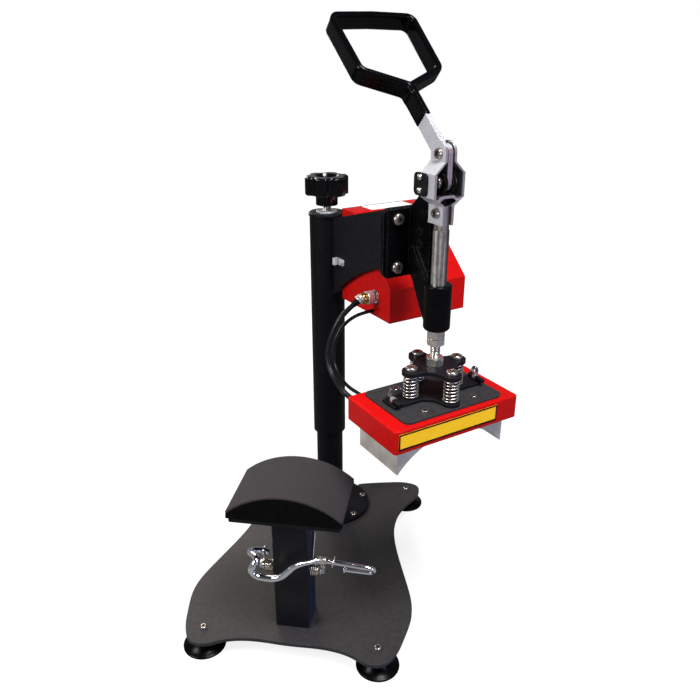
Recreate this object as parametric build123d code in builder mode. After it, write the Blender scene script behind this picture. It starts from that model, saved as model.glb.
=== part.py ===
from build123d import *
from math import acos, atan2, cos, degrees, pi, radians, sin, sqrt, tan
import os

# Cap heat press. Millimetres, Z up, floor at Z = 0. The origin is where the column axis meets the floor.
# The operator stands on the -Y side. The arm rests swung to the right, clear of the curved form.

os.makedirs("parts", exist_ok=True)

# ---------------------------------------------------------------- driving dimensions
# Clearances
running_gap = 0.3
shaft_gap = 0.15

# Feet and base plate
foot_height = 22
foot_rim_radius = 27.5
foot_neck_radius = 12
front_foot_x = 113
front_foot_y = -293
rear_foot_x = 118.5
rear_foot_y = 58
plate_thickness = 5
plate_front_y = -302
plate_rear_y = 54
belly_half_width = 150
belly_y = -228
waist_half_width = 110
waist_y = -29
foot_screw_radius = 3
foot_screw_head_radius = 4.8
foot_screw_head_height = 3.6

# Column
flange_thickness = 5
flange_screw_pitch_radius = 54
flange_screw_margin = 8
flange_screw_count = 6
flange_screw_phase = 23
flange_screw_radius = 2.5
column_radius = 20
column_wall = 3
column_top_z = 462
plug_depth = 20
plug_head_height = 4
thrust_pin_radius = 4
thrust_pin_length = 13
thrust_disc_radius = 12
thrust_disc_height = 5

# Column sleeve, its cap, the height screw and the star knob
sleeve_radius = 24.15
sleeve_wall = 3
sleeve_bottom_z = 168
sleeve_top_z = 502
bush_height = 28
upper_bush_top_z = 450
cap_radius = 25.5
cap_height = 4
cap_nut_depth = 12
washer_radius = 14.5
washer_height = 2
screw_radius = 6
knob_gap = 8
knob_hub_radius = 15
knob_hub_height = 14
knob_lobe_height = 25
knob_radius = 29.5
knob_lobes = 6
knob_scallop_radius = 9
knob_dish_depth = 3

# Stand for the lower form
post_width = 44
post_wall = 2.5
post_top_z = 200.5
board_length = 134
board_width = 90
board_thickness = 5.5
form_length = 139
form_width = 91.6
form_apex_z = 241.5
form_radius = 105
pad_thickness = 3

# Cap tensioner
axle_radius = 3
axle_behind_front = 12
axle_z = 113
coil_wire_radius = 1.2
coil_mean_radius = 5.5
coil_turns = 4
coil_pitch = 2.6
rod_radius = 4
rod_eye_gap = 0.5
arm_eye_wall = 2
arm_strap = 2.8
leg_reach = 27
leg_height = 35
rod_ahead_of_post = 38
rod_end_flange = 1.2
rod_end_length = 2

# Arm
swing_at_rest = 40
reach = 252
arm_thickness = 8
arm_root_top_z = 501.5
arm_root_bottom_z = 393
arm_tip_top_z = 548
arm_tip_bottom_z = 472
arm_belly_y = -107
arm_belly_z = 449
end_plate_thickness = 5
end_plate_width = 74
end_plate_bottom_z = 468
end_plate_top_z = 549
clamp_bolt_radius = 4
clamp_bolt_spacing_x = 40
clamp_bolt_spacing_z = 56
clamp_bolt_end = 2
clamp_nut_height = 6.5
clamp_nut_across_flats = 13
button_head_radius = 7
button_head_height = 4.4
clip_behind_sleeve = 18
clip_z = 446
clip_length = 22
clip_width = 9
clip_sheet = 1.5
clip_screw_radius = 3.4
clip_screw_height = 2.2
clip_ring_radius = 3.6

# Toggle clamp
frame_sheet = 4
frame_depth = 53
frame_flange_half_width = 34
frame_front_gap = 14
nose_gap = 3.4
nose_radius = 12
pivot_z = 584
crank = 30
link_length = 62
pin_radius = 4
guide_radius = 15.5
guide_bottom_z = 418
guide_top_z = 472
plunger_radius = 9
tongue_thickness = 8
tongue_length = 26.5
tongue_top_above_pin = 7.5
stud_socket_depth = 24
rivet_radius = 3
rivet_head = 2
pivot_head_height = 4
rib_length = 42
rib_width = 5
rib_height = 1.2
rib_shift = 4

# Handle
bar_thickness = 2.9
bar_seam = 0.2
bar_width = 19
handle_lean = 48
bar_offset = 18
bare_length = 68
fork_distance = 111
loop_bottom = 134
loop_top = 214
loop_half_width_bottom = 52
loop_half_width_top = 54
vinyl = 1.7

# Toggle link
link_sheet = 3
link_gap = 4.5
link_width = 25
link_behind_pins = 2
link_corner = 7
link_bulge_gap = 17
link_bulge_above_pivot = 10
link_bulge_below_pivot = 15
strap_half_width = 14.5
strap_drop = 4.5
strap_end = 2.5
strap_inset = 1.5

# Spring head
head_gap_when_pressed = 2.5
element_length = 154
element_width = 79.2
element_radius = 100
element_side_height = 35
element_root = 8
cover_length = 177
cover_width = 102
cover_height = 29
cover_sheet = 1.5
head_plate_length = 140
head_plate_width = 90
head_plate_thickness = 3
head_screw_radius = 2.5
head_screw_head_radius = 4.2
head_screw_head_height = 2.2
head_screw_spacing_x = 71
head_screw_spacing_y = 64
lower_cross_thickness = 4
upper_cross_thickness = 5
cross_ear_radius = 11
cross_ear_pitch = 33
cross_waist_radius = 24.5
cross_bar_half_length = 64
cross_bar_width = 24
spring_length = 29
spring_radius = 9.3
spring_wire_radius = 1.2
spring_turns = 6.5
head_travel = 6
spring_bolt_radius = 4
nut_across_flats = 19
cross_nut_height = 10
lock_nut_height = 10
thin_nut_height = 8
insulation_thickness = 18
label_length = 140
label_height = 20
label_margin = 4.5
label_thickness = 0.4
clip_block_height = 7
clip_block_length = 9
clip_block_inset = 9
clip_strip_width = 10
clip_strip_thickness = 1.6

# Control box
box_length = 120
box_front_y = -152
box_rear_y = -35
box_bottom_z = 390
box_lower_front_height = 44
box_height = 126
box_top_front_y = -63
box_sheet = 1.5
cover_rim_depth = 5
panel_length = 74
panel_height = 72
panel_thickness = 1
window_length = 54
window_height = 24
button_radius = 5
button_travel = 1
button_proud = 2.5
board_standoff = 8
circuit_length = 92
circuit_height = 82
circuit_thickness = 1.6
socket_y = -119.5
socket_height = 28
socket_radius = 9
socket_thread_radius = 6.6
socket_hole_radius = 6
socket_flange = 2
plug_ring_radius = 8.6
plug_ring_length = 9
plug_body_radius = 6.4
plug_body_length = 8
plug_boot_radius = 5.6
sensor_exit_y = -113
sensor_exit_height = 6
inlet_x = 84
inlet_y = -66
inlet_length = 46
inlet_width = 26
inlet_flange = 2
inlet_depth = 20
recess_depth = 14
recess_length = 24
recess_width = 17
recess_x = -9
rocker_x = 15
rocker_length = 20
rocker_width = 12
rocker_tilt = 9
rocker_pin_radius = 1.5
cable_radius = 3.4
sensor_cable_radius = 2.3

# ---------------------------------------------------------------- frames and shared places
turn = radians(swing_at_rest)
across = Vector(cos(turn), sin(turn), 0)
back = Vector(-sin(turn), cos(turn), 0)
up = Vector(0, 0, 1)
low = (Align.CENTER, Align.CENTER, Align.MIN)
high = (Align.CENTER, Align.CENTER, Align.MAX)


def arm_point(x, y, z):
    """A point given across the arm, along it towards the column, and up."""
    return across * x + back * y + up * z


def level(z, x=0, y=0):
    """A horizontal plane of the arm."""
    return Plane(origin=arm_point(x, y, z), x_dir=across, z_dir=up)


def side(x, y=0, z=0):
    """A plane parallel to the arm plate: local X runs to the column and local Y runs up."""
    return Plane(origin=arm_point(x, y, z), x_dir=back, z_dir=across)


def front(y, x=0, z=0):
    """A plane facing the operator's end of the arm: local X runs across and local Y runs up."""
    return Plane(origin=arm_point(x, y, z), x_dir=across, z_dir=-back)


plate_bottom_z = foot_height
plate_top_z = plate_bottom_z + plate_thickness
spindle_y = -reach
post_y = -reach
flange_front_y = spindle_y + frame_depth
end_plate_front_y = flange_front_y + frame_sheet
end_plate_rear_y = end_plate_front_y + end_plate_thickness
web_front_y = spindle_y + frame_front_gap
stroke = 2 * crank
upper_pin_z = pivot_z + crank
lower_pin_z = upper_pin_z - link_length
box_lower_front_z = box_bottom_z + box_lower_front_height
box_top_z = box_bottom_z + box_height
socket_z = box_bottom_z + socket_height


def button_bolt(shank_radius, length, head_radius, head_height):
    """A button-head bolt with a hexagon key socket. It seats at Z = 0 with its shank below."""
    with BuildPart() as bolt:
        Cylinder(shank_radius, length, align=high)
        Cylinder(head_radius, head_height, align=low)
        fillet(bolt.edges().group_by(Axis.Z)[-1], head_height * 0.6)
        with BuildSketch(Plane.XY.offset(head_height)):
            RegularPolygon(shank_radius * 0.62, 6, major_radius=False)
        extrude(amount=-head_height * 0.55, mode=Mode.SUBTRACT)
    return bolt.part


def pan_screw(shank_radius, length, head_radius, head_height):
    """A pan-head screw with a crossed recess. It seats at Z = 0 with its shank below."""
    with BuildPart() as screw:
        Cylinder(shank_radius, length, align=high)
        Cylinder(head_radius, head_height, align=low)
        fillet(screw.edges().group_by(Axis.Z)[-1], head_height * 0.45)
        with BuildSketch(Plane.XY.offset(head_height)):
            Rectangle(head_radius, head_radius * 0.22)
            Rectangle(head_radius * 0.22, head_radius)
        extrude(amount=-head_height * 0.5, mode=Mode.SUBTRACT)
    return screw.part


def hex_nut(across_flats, height, bore_radius):
    """A hexagon nut standing on Z = 0, with the corners turned off at both ends."""
    corner = across_flats / sqrt(3)
    turned = (corner - across_flats / 2) * 0.55
    with BuildPart() as nut:
        with BuildSketch():
            RegularPolygon(across_flats / 2, 6, major_radius=False)
            Circle(bore_radius, mode=Mode.SUBTRACT)
        extrude(amount=height)
        with BuildSketch(Plane.XZ):
            with BuildLine():
                Polyline(
                    (0, 0),
                    (across_flats / 2, 0),
                    (corner, turned),
                    (corner, height - turned),
                    (across_flats / 2, height),
                    (0, height),
                    close=True,
                )
            make_face()
        revolve(axis=Axis.Z, mode=Mode.INTERSECT)
    return nut.part


def finish(piece, name):
    """Label a finished piece and write its file."""
    piece.part.label = name
    export_step(piece.part, "parts/" + name + ".step")


# ---------------------------------------------------------------- base plate, feet and column foot
def flange_screw_places():
    """The ring of screws that holds the column flange."""
    return PolarLocations(flange_screw_pitch_radius, flange_screw_count, start_angle=flange_screw_phase)


def foot_places():
    """The four feet, in the plan of the base plate."""
    return Locations(
        (front_foot_x, front_foot_y),
        (-front_foot_x, front_foot_y),
        (rear_foot_x, rear_foot_y),
        (-rear_foot_x, rear_foot_y),
    )


flange_top_z = plate_top_z + flange_thickness
flange_radius = flange_screw_pitch_radius + flange_screw_margin

with BuildPart() as base_plate:
    with BuildSketch(Plane.XY.offset(plate_bottom_z)):
        with BuildLine() as outline:
            right_edge = Spline(
                (0, plate_front_y),
                (32, plate_front_y + 1),
                (front_foot_x - 26, front_foot_y - 18),
                (front_foot_x - 12, front_foot_y - 25),
                (front_foot_x + 7, front_foot_y - 24.5),
                (front_foot_x + 22, front_foot_y - 6),
                (belly_half_width - 6, belly_y - 39),
                (belly_half_width, belly_y),
                (belly_half_width - 10, belly_y + 53),
                (waist_half_width + 12, waist_y - 87),
                (waist_half_width, waist_y),
                (rear_foot_x - 4.5, rear_foot_y - 66),
                (rear_foot_x + 10.5, rear_foot_y - 34),
                (rear_foot_x + 21.5, rear_foot_y - 9),
                (rear_foot_x + 18, rear_foot_y + 11),
                (rear_foot_x + 2, rear_foot_y + 18),
                (rear_foot_x - 30, rear_foot_y + 15),
                (37, plate_rear_y + 4),
                (0, plate_rear_y),
                tangents=((1, 0), (-1, 0)),
            )
            mirror(right_edge, about=Plane.YZ)
        make_face()
        with foot_places():
            Circle(foot_screw_radius, mode=Mode.SUBTRACT)
        with flange_screw_places():
            Circle(flange_screw_radius, mode=Mode.SUBTRACT)
    extrude(amount=plate_thickness)
finish(base_plate, "base_plate")

# Each foot is a rubber suction cup with a dished underside, hung on its own screw.
with BuildPart() as foot_shape:
    with BuildSketch(Plane.XZ):
        with BuildLine():
            Polyline(
                (foot_screw_radius, foot_height),
                (foot_neck_radius, foot_height),
                (foot_neck_radius, foot_height * 0.78),
                (foot_neck_radius + 2.5, foot_height * 0.6),
                (foot_rim_radius - 5, foot_height * 0.22),
                (foot_rim_radius, 2.5),
                (foot_rim_radius, 0),
                (foot_rim_radius - 3, 0),
                (foot_neck_radius, foot_height * 0.2),
                (foot_screw_radius, foot_height * 0.24),
                close=True,
            )
        make_face()
    revolve(axis=Axis.Z)

with BuildPart() as foot_pads:
    with foot_places():
        add(foot_shape.part)
finish(foot_pads, "foot_pads")

foot_screw = button_bolt(
    foot_screw_radius, plate_thickness + foot_height * 0.65, foot_screw_head_radius, foot_screw_head_height
)
flange_screw = pan_screw(flange_screw_radius, flange_thickness + plate_thickness, 4.6, 2.8)
with BuildPart() as base_screws:
    with Locations(Plane.XY.offset(plate_top_z)):
        with foot_places():
            add(foot_screw)
    with Locations(Plane.XY.offset(flange_top_z)):
        with flange_screw_places():
            add(flange_screw)
finish(base_screws, "base_screws")

with BuildPart() as column_flange:
    with BuildSketch(Plane.XY.offset(plate_top_z)):
        Circle(flange_radius)
        Circle(column_radius, mode=Mode.SUBTRACT)
        with flange_screw_places():
            Circle(flange_screw_radius, mode=Mode.SUBTRACT)
    extrude(amount=flange_thickness)
    fillet(column_flange.edges().group_by(Axis.Z)[-1].sort_by(SortBy.LENGTH)[-1], flange_thickness * 0.3)
finish(column_flange, "column_flange")

# The column is a plain tube. A turned plug closes its top and holds the pin of the thrust button.
plug_top_z = column_top_z + plug_head_height
column_bore_radius = column_radius - column_wall
with BuildPart() as column_tube:
    with BuildSketch(Plane.XY.offset(plate_top_z)):
        Circle(column_radius)
        Circle(column_bore_radius, mode=Mode.SUBTRACT)
    extrude(amount=column_top_z - plate_top_z)
    with BuildSketch(Plane.XY.offset(column_top_z - plug_depth)):
        Circle(column_bore_radius)
    extrude(amount=plug_depth)
    with BuildSketch(Plane.XY.offset(column_top_z)):
        Circle(column_radius - 0.5)
    extrude(amount=plug_head_height)
    with Locations((0, 0, plug_top_z)):
        Hole(thrust_pin_radius + shaft_gap, thrust_pin_length + running_gap + 1)
finish(column_tube, "column_tube")

thrust_disc_bottom_z = plug_top_z + running_gap
thrust_top_z = thrust_disc_bottom_z + thrust_disc_height
with BuildPart() as thrust_button:
    with BuildSketch(Plane.XY.offset(thrust_disc_bottom_z)):
        Circle(thrust_disc_radius)
    extrude(amount=thrust_disc_height)
    with BuildSketch(Plane.XY.offset(thrust_disc_bottom_z)):
        Circle(thrust_pin_radius)
    extrude(amount=-thrust_pin_length)
finish(thrust_button, "thrust_button")

# ---------------------------------------------------------------- height screw and star knob
sleeve_bore_radius = sleeve_radius - sleeve_wall
cap_top_z = sleeve_top_z + cap_height
washer_top_z = cap_top_z + washer_height
knob_bottom_z = washer_top_z + knob_gap
knob_lobe_z = knob_bottom_z + knob_hub_height
knob_top_z = knob_lobe_z + knob_lobe_height
screw_top_z = knob_lobe_z + knob_lobe_height * 0.4

with BuildPart() as height_screw:
    with BuildSketch(Plane.XY.offset(thrust_top_z + running_gap)):
        Circle(screw_radius)
    extrude(amount=screw_top_z - thrust_top_z - running_gap)
    chamfer(height_screw.edges().group_by(Axis.Z)[0], screw_radius * 0.25)
finish(height_screw, "height_screw")

with BuildPart() as star_knob:
    with BuildSketch(level(knob_lobe_z)):
        Circle(knob_radius)
        with PolarLocations(knob_radius + knob_scallop_radius * 0.45, knob_lobes, start_angle=15):
            Circle(knob_scallop_radius, mode=Mode.SUBTRACT)
        fillet(vertices(), knob_scallop_radius * 0.3)
    extrude(amount=knob_lobe_height)
    fillet(star_knob.edges().group_by(Axis.Z)[-1], 2.4)
    fillet(star_knob.edges().group_by(Axis.Z)[0], 1.6)
    with BuildSketch(level(knob_bottom_z)):
        Circle(knob_hub_radius)
    extrude(amount=knob_hub_height)
    with BuildSketch(level(knob_top_z)):
        Circle(knob_radius * 0.55)
    extrude(amount=-knob_dish_depth, taper=30, mode=Mode.SUBTRACT)
    with BuildSketch(level(knob_bottom_z)):
        Circle(screw_radius)
    extrude(amount=screw_top_z - knob_bottom_z, mode=Mode.SUBTRACT)
finish(star_knob, "star_knob")

# ---------------------------------------------------------------- stand for the curved form
board_top_z = post_top_z + board_thickness
form_centre_z = form_apex_z - form_radius
axle_y = post_y - post_width / 2 + axle_behind_front

with BuildPart() as post:
    with BuildSketch(Plane.XY.offset(plate_top_z)):
        with Locations((0, post_y)):
            RectangleRounded(post_width, post_width, post_wall)
            Rectangle(post_width - 2 * post_wall, post_width - 2 * post_wall, mode=Mode.SUBTRACT)
    extrude(amount=post_top_z - plate_top_z)
    with BuildSketch(Plane.YZ):
        with Locations((axle_y, axle_z)):
            Circle(axle_radius)
    extrude(amount=post_width, both=True, mode=Mode.SUBTRACT)
finish(post, "post")

with BuildPart() as form_board:
    with BuildSketch(Plane.XY.offset(post_top_z)):
        with Locations((0, post_y)):
            RectangleRounded(board_length, board_width, 2)
    extrude(amount=board_thickness)
finish(form_board, "form_board")

form_front = Plane(origin=(0, post_y - form_width / 2, 0), x_dir=(1, 0, 0), z_dir=(0, -1, 0))
with BuildPart() as form_block:
    with BuildSketch(form_front):
        with Locations((0, form_centre_z)):
            Circle(form_radius - pad_thickness)
        with Locations((0, board_top_z)):
            Rectangle(form_length, form_radius, align=(Align.CENTER, Align.MIN), mode=Mode.INTERSECT)
    extrude(amount=-form_width)
finish(form_block, "form_block")

with BuildPart() as form_pad:
    with BuildSketch(form_front):
        with Locations((0, form_centre_z)):
            Circle(form_radius)
        with Locations((0, board_top_z)):
            Rectangle(form_length, form_radius, align=(Align.CENTER, Align.MIN), mode=Mode.INTERSECT)
        with Locations((0, form_centre_z)):
            Circle(form_radius - pad_thickness, mode=Mode.SUBTRACT)
    extrude(amount=-form_width)
finish(form_pad, "form_pad")

# ---------------------------------------------------------------- cap tensioner
coil_inner_x = post_width / 2 + running_gap + coil_wire_radius
coil_length = coil_turns * coil_pitch
arm_inner_x = coil_inner_x + coil_length + coil_wire_radius + running_gap
arm_outer_x = arm_inner_x + arm_strap
axle_half_length = arm_outer_x + running_gap
axle_head_height = 3

with BuildPart() as tensioner_axle:
    with BuildSketch(Plane.YZ):
        with Locations((axle_y, axle_z)):
            Circle(axle_radius)
    extrude(amount=axle_half_length, both=True)
    for outward in (-1, 1):
        with BuildSketch(Plane.YZ.offset(outward * axle_half_length)):
            with Locations((axle_y, axle_z)):
                RegularPolygon(axle_radius * 1.75, 6, major_radius=False)
        extrude(amount=outward * axle_head_height)
finish(tensioner_axle, "tensioner_axle")

# Each torsion spring is wound round the axle, and its straight leg runs up to the side of the post.
leg_top_y = axle_y + leg_reach
leg_top_z = axle_z + leg_height
leg_run = Vector(leg_top_y - axle_y, leg_top_z - axle_z)
leg_angle = degrees(atan2(leg_run.Y, leg_run.X)) - degrees(acos(coil_mean_radius / leg_run.length))
coil_start = Vector(0, cos(radians(leg_angle)), sin(radians(leg_angle)))
leg_heel = Vector(coil_inner_x, axle_y, axle_z) + coil_start * coil_mean_radius
leg_tip = Vector(coil_inner_x, leg_top_y, leg_top_z)
with BuildPart() as coil_shape:
    with BuildLine() as coil:
        Helix(coil_pitch, coil_length, coil_mean_radius, lefthand=True)
    with BuildSketch(Plane(origin=coil.line @ 0, z_dir=coil.line % 0)):
        Circle(coil_wire_radius)
    sweep(path=coil.line, is_frenet=True)

with BuildPart() as right_spring:
    with Locations(Plane(origin=(coil_inner_x, axle_y, axle_z), x_dir=coil_start, z_dir=(1, 0, 0))):
        add(coil_shape.part)
    with BuildSketch(Plane(origin=leg_tip, z_dir=leg_heel - leg_tip)):
        Circle(coil_wire_radius)
    extrude(amount=(leg_tip - leg_heel).length + coil_wire_radius)
    with BuildSketch(Plane.YZ.offset(coil_inner_x)):
        with Locations((leg_top_y, leg_top_z)):
            Circle(coil_wire_radius)
    extrude(amount=post_width / 2 - coil_inner_x)

with BuildPart() as torsion_springs:
    add(right_spring.part)
    mirror(right_spring.part, about=Plane.YZ)
finish(torsion_springs, "torsion_springs")

# The chrome rod is one bent bar: a curl on the left, a dip across the post, and a hairpin pull on the right.
rod_front_y = post_y - rod_ahead_of_post
rod_points = (
    (-31, axle_y + 6, axle_z + 13),
    (-57, axle_y + 6, axle_z + 13),
    (-40, rod_front_y + 6, axle_z + 21),
    (-50, rod_front_y, axle_z + 11),
    (-42, rod_front_y, axle_z - 2),
    (-22, rod_front_y, axle_z - 2),
    (8, rod_front_y, axle_z + 24),
    (30, rod_front_y, axle_z + 39),
    (108, rod_front_y, axle_z + 31),
    (106, rod_front_y + 9, axle_z + 23),
    (70, rod_front_y + 9, axle_z + 22),
)
rod_bends = (8, 6, 8, 12, 20, 30, 20, 5, 5)


def rod_place(x):
    """Where the rod crosses the plane at x, beside the right of the post: its Y and Z."""
    fall = (x - rod_points[7][0]) / (rod_points[8][0] - rod_points[7][0])
    return rod_front_y, rod_points[7][2] + fall * (rod_points[8][2] - rod_points[7][2])


def tensioner_arm(x, rod_y, rod_z):
    """A wire arm with one eye round the axle and one round the rod."""
    run = Vector(rod_y - axle_y, rod_z - axle_z)
    middle = ((rod_y + axle_y) / 2, (rod_z + axle_z) / 2)
    with BuildPart() as arm:
        with BuildSketch(Plane.YZ.offset(x)):
            with Locations((axle_y, axle_z)):
                Circle(axle_radius + shaft_gap + arm_eye_wall)
            with Locations((rod_y, rod_z)):
                Circle(rod_radius + rod_eye_gap + arm_eye_wall)
            with Locations(Location(middle, degrees(atan2(run.Y, run.X)))):
                Rectangle(run.length, arm_strap)
            with Locations((axle_y, axle_z)):
                Circle(axle_radius + shaft_gap, mode=Mode.SUBTRACT)
            with Locations((rod_y, rod_z)):
                Circle(rod_radius + rod_eye_gap, mode=Mode.SUBTRACT)
        extrude(amount=arm_strap)
    return arm.part


with BuildPart() as rod_bar:
    with BuildLine() as rod_path:
        FilletPolyline(*rod_points, radius=rod_bends)
    with BuildSketch(Plane(origin=rod_path.line @ 0, z_dir=rod_path.line % 0)):
        Circle(rod_radius)
    sweep(path=rod_path.line)
    with BuildSketch(Plane(origin=rod_path.line @ 1, z_dir=rod_path.line % 1)):
        Circle(rod_radius + rod_end_flange)
    extrude(amount=rod_end_length)
right_arm = tensioner_arm(arm_inner_x, *rod_place(arm_inner_x + arm_strap / 2))
left_arm = tensioner_arm(-arm_outer_x, rod_points[0][1], rod_points[0][2])

# The two arms stay separate solids, loose on the rod.
with BuildPart() as tensioner_rod:
    add(right_arm)
    add(left_arm)
    add(rod_bar.part)
finish(tensioner_rod, "tensioner_rod")

# ---------------------------------------------------------------- sleeve, cap and bushes
with BuildPart() as column_sleeve:
    with BuildSketch(Plane.XY.offset(sleeve_bottom_z)):
        Circle(sleeve_radius)
        Circle(sleeve_bore_radius, mode=Mode.SUBTRACT)
    extrude(amount=sleeve_top_z - sleeve_bottom_z)
finish(column_sleeve, "column_sleeve")

with BuildPart() as sleeve_cap:
    with BuildSketch(Plane.XY.offset(sleeve_top_z)):
        Circle(cap_radius)
    extrude(amount=cap_height)
    chamfer(sleeve_cap.edges().group_by(Axis.Z)[-1], 1.2)
    with BuildSketch(Plane.XY.offset(sleeve_top_z)):
        Circle(sleeve_bore_radius)
    extrude(amount=-cap_nut_depth)
    with Locations((0, 0, cap_top_z)):
        Hole(screw_radius + shaft_gap)
finish(sleeve_cap, "sleeve_cap")

with BuildPart() as cap_washer:
    with BuildSketch(Plane.XY.offset(cap_top_z)):
        Circle(washer_radius)
        Circle(screw_radius + shaft_gap, mode=Mode.SUBTRACT)
    extrude(amount=washer_height)
    chamfer(cap_washer.edges().group_by(Axis.Z)[-1].sort_by(SortBy.LENGTH)[-1], 0.5)
finish(cap_washer, "cap_washer")

with BuildPart() as sleeve_bushes:
    for bush_bottom_z in (sleeve_bottom_z, upper_bush_top_z - bush_height):
        with BuildSketch(Plane.XY.offset(bush_bottom_z)):
            Circle(sleeve_bore_radius)
            Circle(column_radius + shaft_gap, mode=Mode.SUBTRACT)
        extrude(amount=bush_height)
finish(sleeve_bushes, "sleeve_bushes")

# ---------------------------------------------------------------- arm plate and clamp mounting
with BuildPart() as arm_plate:
    with BuildSketch(side(-arm_thickness / 2)):
        with BuildLine():
            lower_edge = ThreePointArc(
                (end_plate_rear_y, arm_tip_bottom_z),
                (arm_belly_y, arm_belly_z),
                (-sleeve_radius * 0.9, arm_root_bottom_z),
            )
            Polyline(
                lower_edge @ 1,
                (-sleeve_radius * 0.9, arm_root_top_z),
                (end_plate_rear_y, arm_tip_top_z),
                lower_edge @ 0,
            )
        make_face()
    extrude(amount=arm_thickness)
    with BuildSketch(Plane.XY.offset(sleeve_bottom_z)):
        Circle(sleeve_radius)
    extrude(amount=sleeve_top_z - sleeve_bottom_z, mode=Mode.SUBTRACT)
    with BuildSketch(Plane.XY.offset(sleeve_top_z)):
        Circle(cap_radius)
    extrude(amount=cap_height, mode=Mode.SUBTRACT)
finish(arm_plate, "arm_plate")

clamp_bolt_z = (end_plate_bottom_z + end_plate_top_z) / 2


def clamp_bolt_grid():
    """The four bolts of the clamp, on the plane of the end plate."""
    return GridLocations(clamp_bolt_spacing_x, clamp_bolt_spacing_z, 2, 2)


with BuildPart() as end_plate:
    with BuildSketch(front(end_plate_rear_y, 0, clamp_bolt_z)):
        RectangleRounded(end_plate_width, end_plate_top_z - end_plate_bottom_z, 8)
        with clamp_bolt_grid():
            Circle(clamp_bolt_radius, mode=Mode.SUBTRACT)
    extrude(amount=end_plate_thickness)
finish(end_plate, "end_plate")

clamp_grip = frame_sheet + end_plate_thickness + clamp_nut_height + clamp_bolt_end
clamp_bolt = button_bolt(clamp_bolt_radius, clamp_grip, button_head_radius, button_head_height)
clamp_nut = hex_nut(clamp_nut_across_flats, clamp_nut_height, clamp_bolt_radius + shaft_gap)
with BuildPart() as clamp_bolts:
    with Locations(front(flange_front_y, 0, clamp_bolt_z)):
        with clamp_bolt_grid():
            add(clamp_bolt)
    with Locations(front(end_plate_rear_y + clamp_nut_height, 0, clamp_bolt_z)):
        with clamp_bolt_grid():
            add(clamp_nut)
finish(clamp_bolts, "clamp_bolts")

# A small clip on the left face of the arm: a strap, its screw and a ring for a wire.
clip_y = -sleeve_radius - clip_behind_sleeve
clip_face_x = -arm_thickness / 2 - clip_sheet
clip_ring_x = clip_face_x - clip_ring_radius + 0.2
with BuildPart() as cable_clip:
    with BuildSketch(side(-arm_thickness / 2, clip_y, clip_z)):
        RectangleRounded(clip_length, clip_width, clip_width / 3)
    extrude(amount=-clip_sheet)
    with BuildSketch(side(clip_face_x, clip_y - clip_length / 4, clip_z)):
        Circle(clip_screw_radius)
    extrude(amount=-clip_screw_height)
    with BuildSketch(level(clip_z - clip_width / 2, clip_ring_x, clip_y + clip_length / 4)):
        Circle(clip_ring_radius)
        Circle(clip_ring_radius - clip_sheet, mode=Mode.SUBTRACT)
    extrude(amount=clip_width)
finish(cable_clip, "cable_clip")

# ---------------------------------------------------------------- toggle clamp frame
nose_block_bottom_z = pivot_z - 19
nose_block_top_z = pivot_z + 4
nose_rear_y = spindle_y + 38
web_rivets = ((spindle_y + 32.5, clamp_bolt_z + 16.5), (spindle_y + 32, clamp_bolt_z + 2.5))
nose_rivets = ((spindle_y + 26, pivot_z - 2), (spindle_y + 26, pivot_z - 13.5))


def frame_half(outward):
    """One stamped half of the frame: web, mounting flange and the cheek that carries the handle pivot."""
    with BuildPart() as half:
        with BuildSketch(side(0)):
            with BuildLine():
                Polyline(
                    (flange_front_y, end_plate_bottom_z + 2),
                    (flange_front_y, end_plate_top_z),
                    (nose_rear_y, end_plate_top_z + 14),
                    (nose_rear_y, nose_block_top_z),
                    (web_front_y, nose_block_top_z),
                    (web_front_y, guide_bottom_z - 2),
                    (spindle_y + 16, guide_bottom_z - 2),
                    (spindle_y + 33, guide_bottom_z + 26),
                    (spindle_y + 47, end_plate_bottom_z + 2),
                    close=True,
                )
            make_face()
        extrude(amount=outward * frame_sheet)
        with BuildSketch(front(end_plate_front_y, 0, clamp_bolt_z)):
            with Locations((outward * frame_flange_half_width / 2, 0)):
                Rectangle(frame_flange_half_width, end_plate_top_z - end_plate_bottom_z - 2)
            with clamp_bolt_grid():
                Circle(clamp_bolt_radius, mode=Mode.SUBTRACT)
        extrude(amount=frame_sheet)
        with BuildSketch(side(outward * nose_gap)):
            with Locations((spindle_y, pivot_z)):
                Circle(nose_radius)
            with BuildLine():
                Polyline(
                    (nose_rear_y, nose_block_top_z),
                    (web_front_y, nose_block_top_z),
                    (spindle_y, pivot_z + nose_radius),
                    (spindle_y, pivot_z - nose_radius),
                    (web_front_y, pivot_z - nose_radius),
                    (web_front_y, nose_block_bottom_z),
                    (nose_rear_y, nose_block_bottom_z),
                    close=True,
                )
            make_face()
        extrude(amount=outward * frame_sheet)
        with BuildSketch(side(outward * frame_sheet)):
            for shift in (-rib_shift, rib_shift):
                with Locations(Location((spindle_y + 30 + shift, clamp_bolt_z - 20), 52)):
                    SlotOverall(rib_length, rib_width)
        extrude(amount=outward * rib_height)
        with BuildSketch(side(0)):
            with Locations((spindle_y, pivot_z)):
                Circle(pin_radius)
            with Locations(*web_rivets, *nose_rivets):
                Circle(rivet_radius)
        extrude(amount=20, both=True, mode=Mode.SUBTRACT)
        with BuildSketch(level(guide_bottom_z - 5, 0, spindle_y)):
            Circle(guide_radius)
        extrude(amount=guide_top_z - guide_bottom_z + 5, mode=Mode.SUBTRACT)
    return half.part


frame_halves = [frame_half(outward) for outward in (-1, 1)]
with BuildPart() as frame_left:
    add(frame_halves[0])
finish(frame_left, "frame_left")

with BuildPart() as frame_right:
    add(frame_halves[1])
finish(frame_right, "frame_right")

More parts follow.
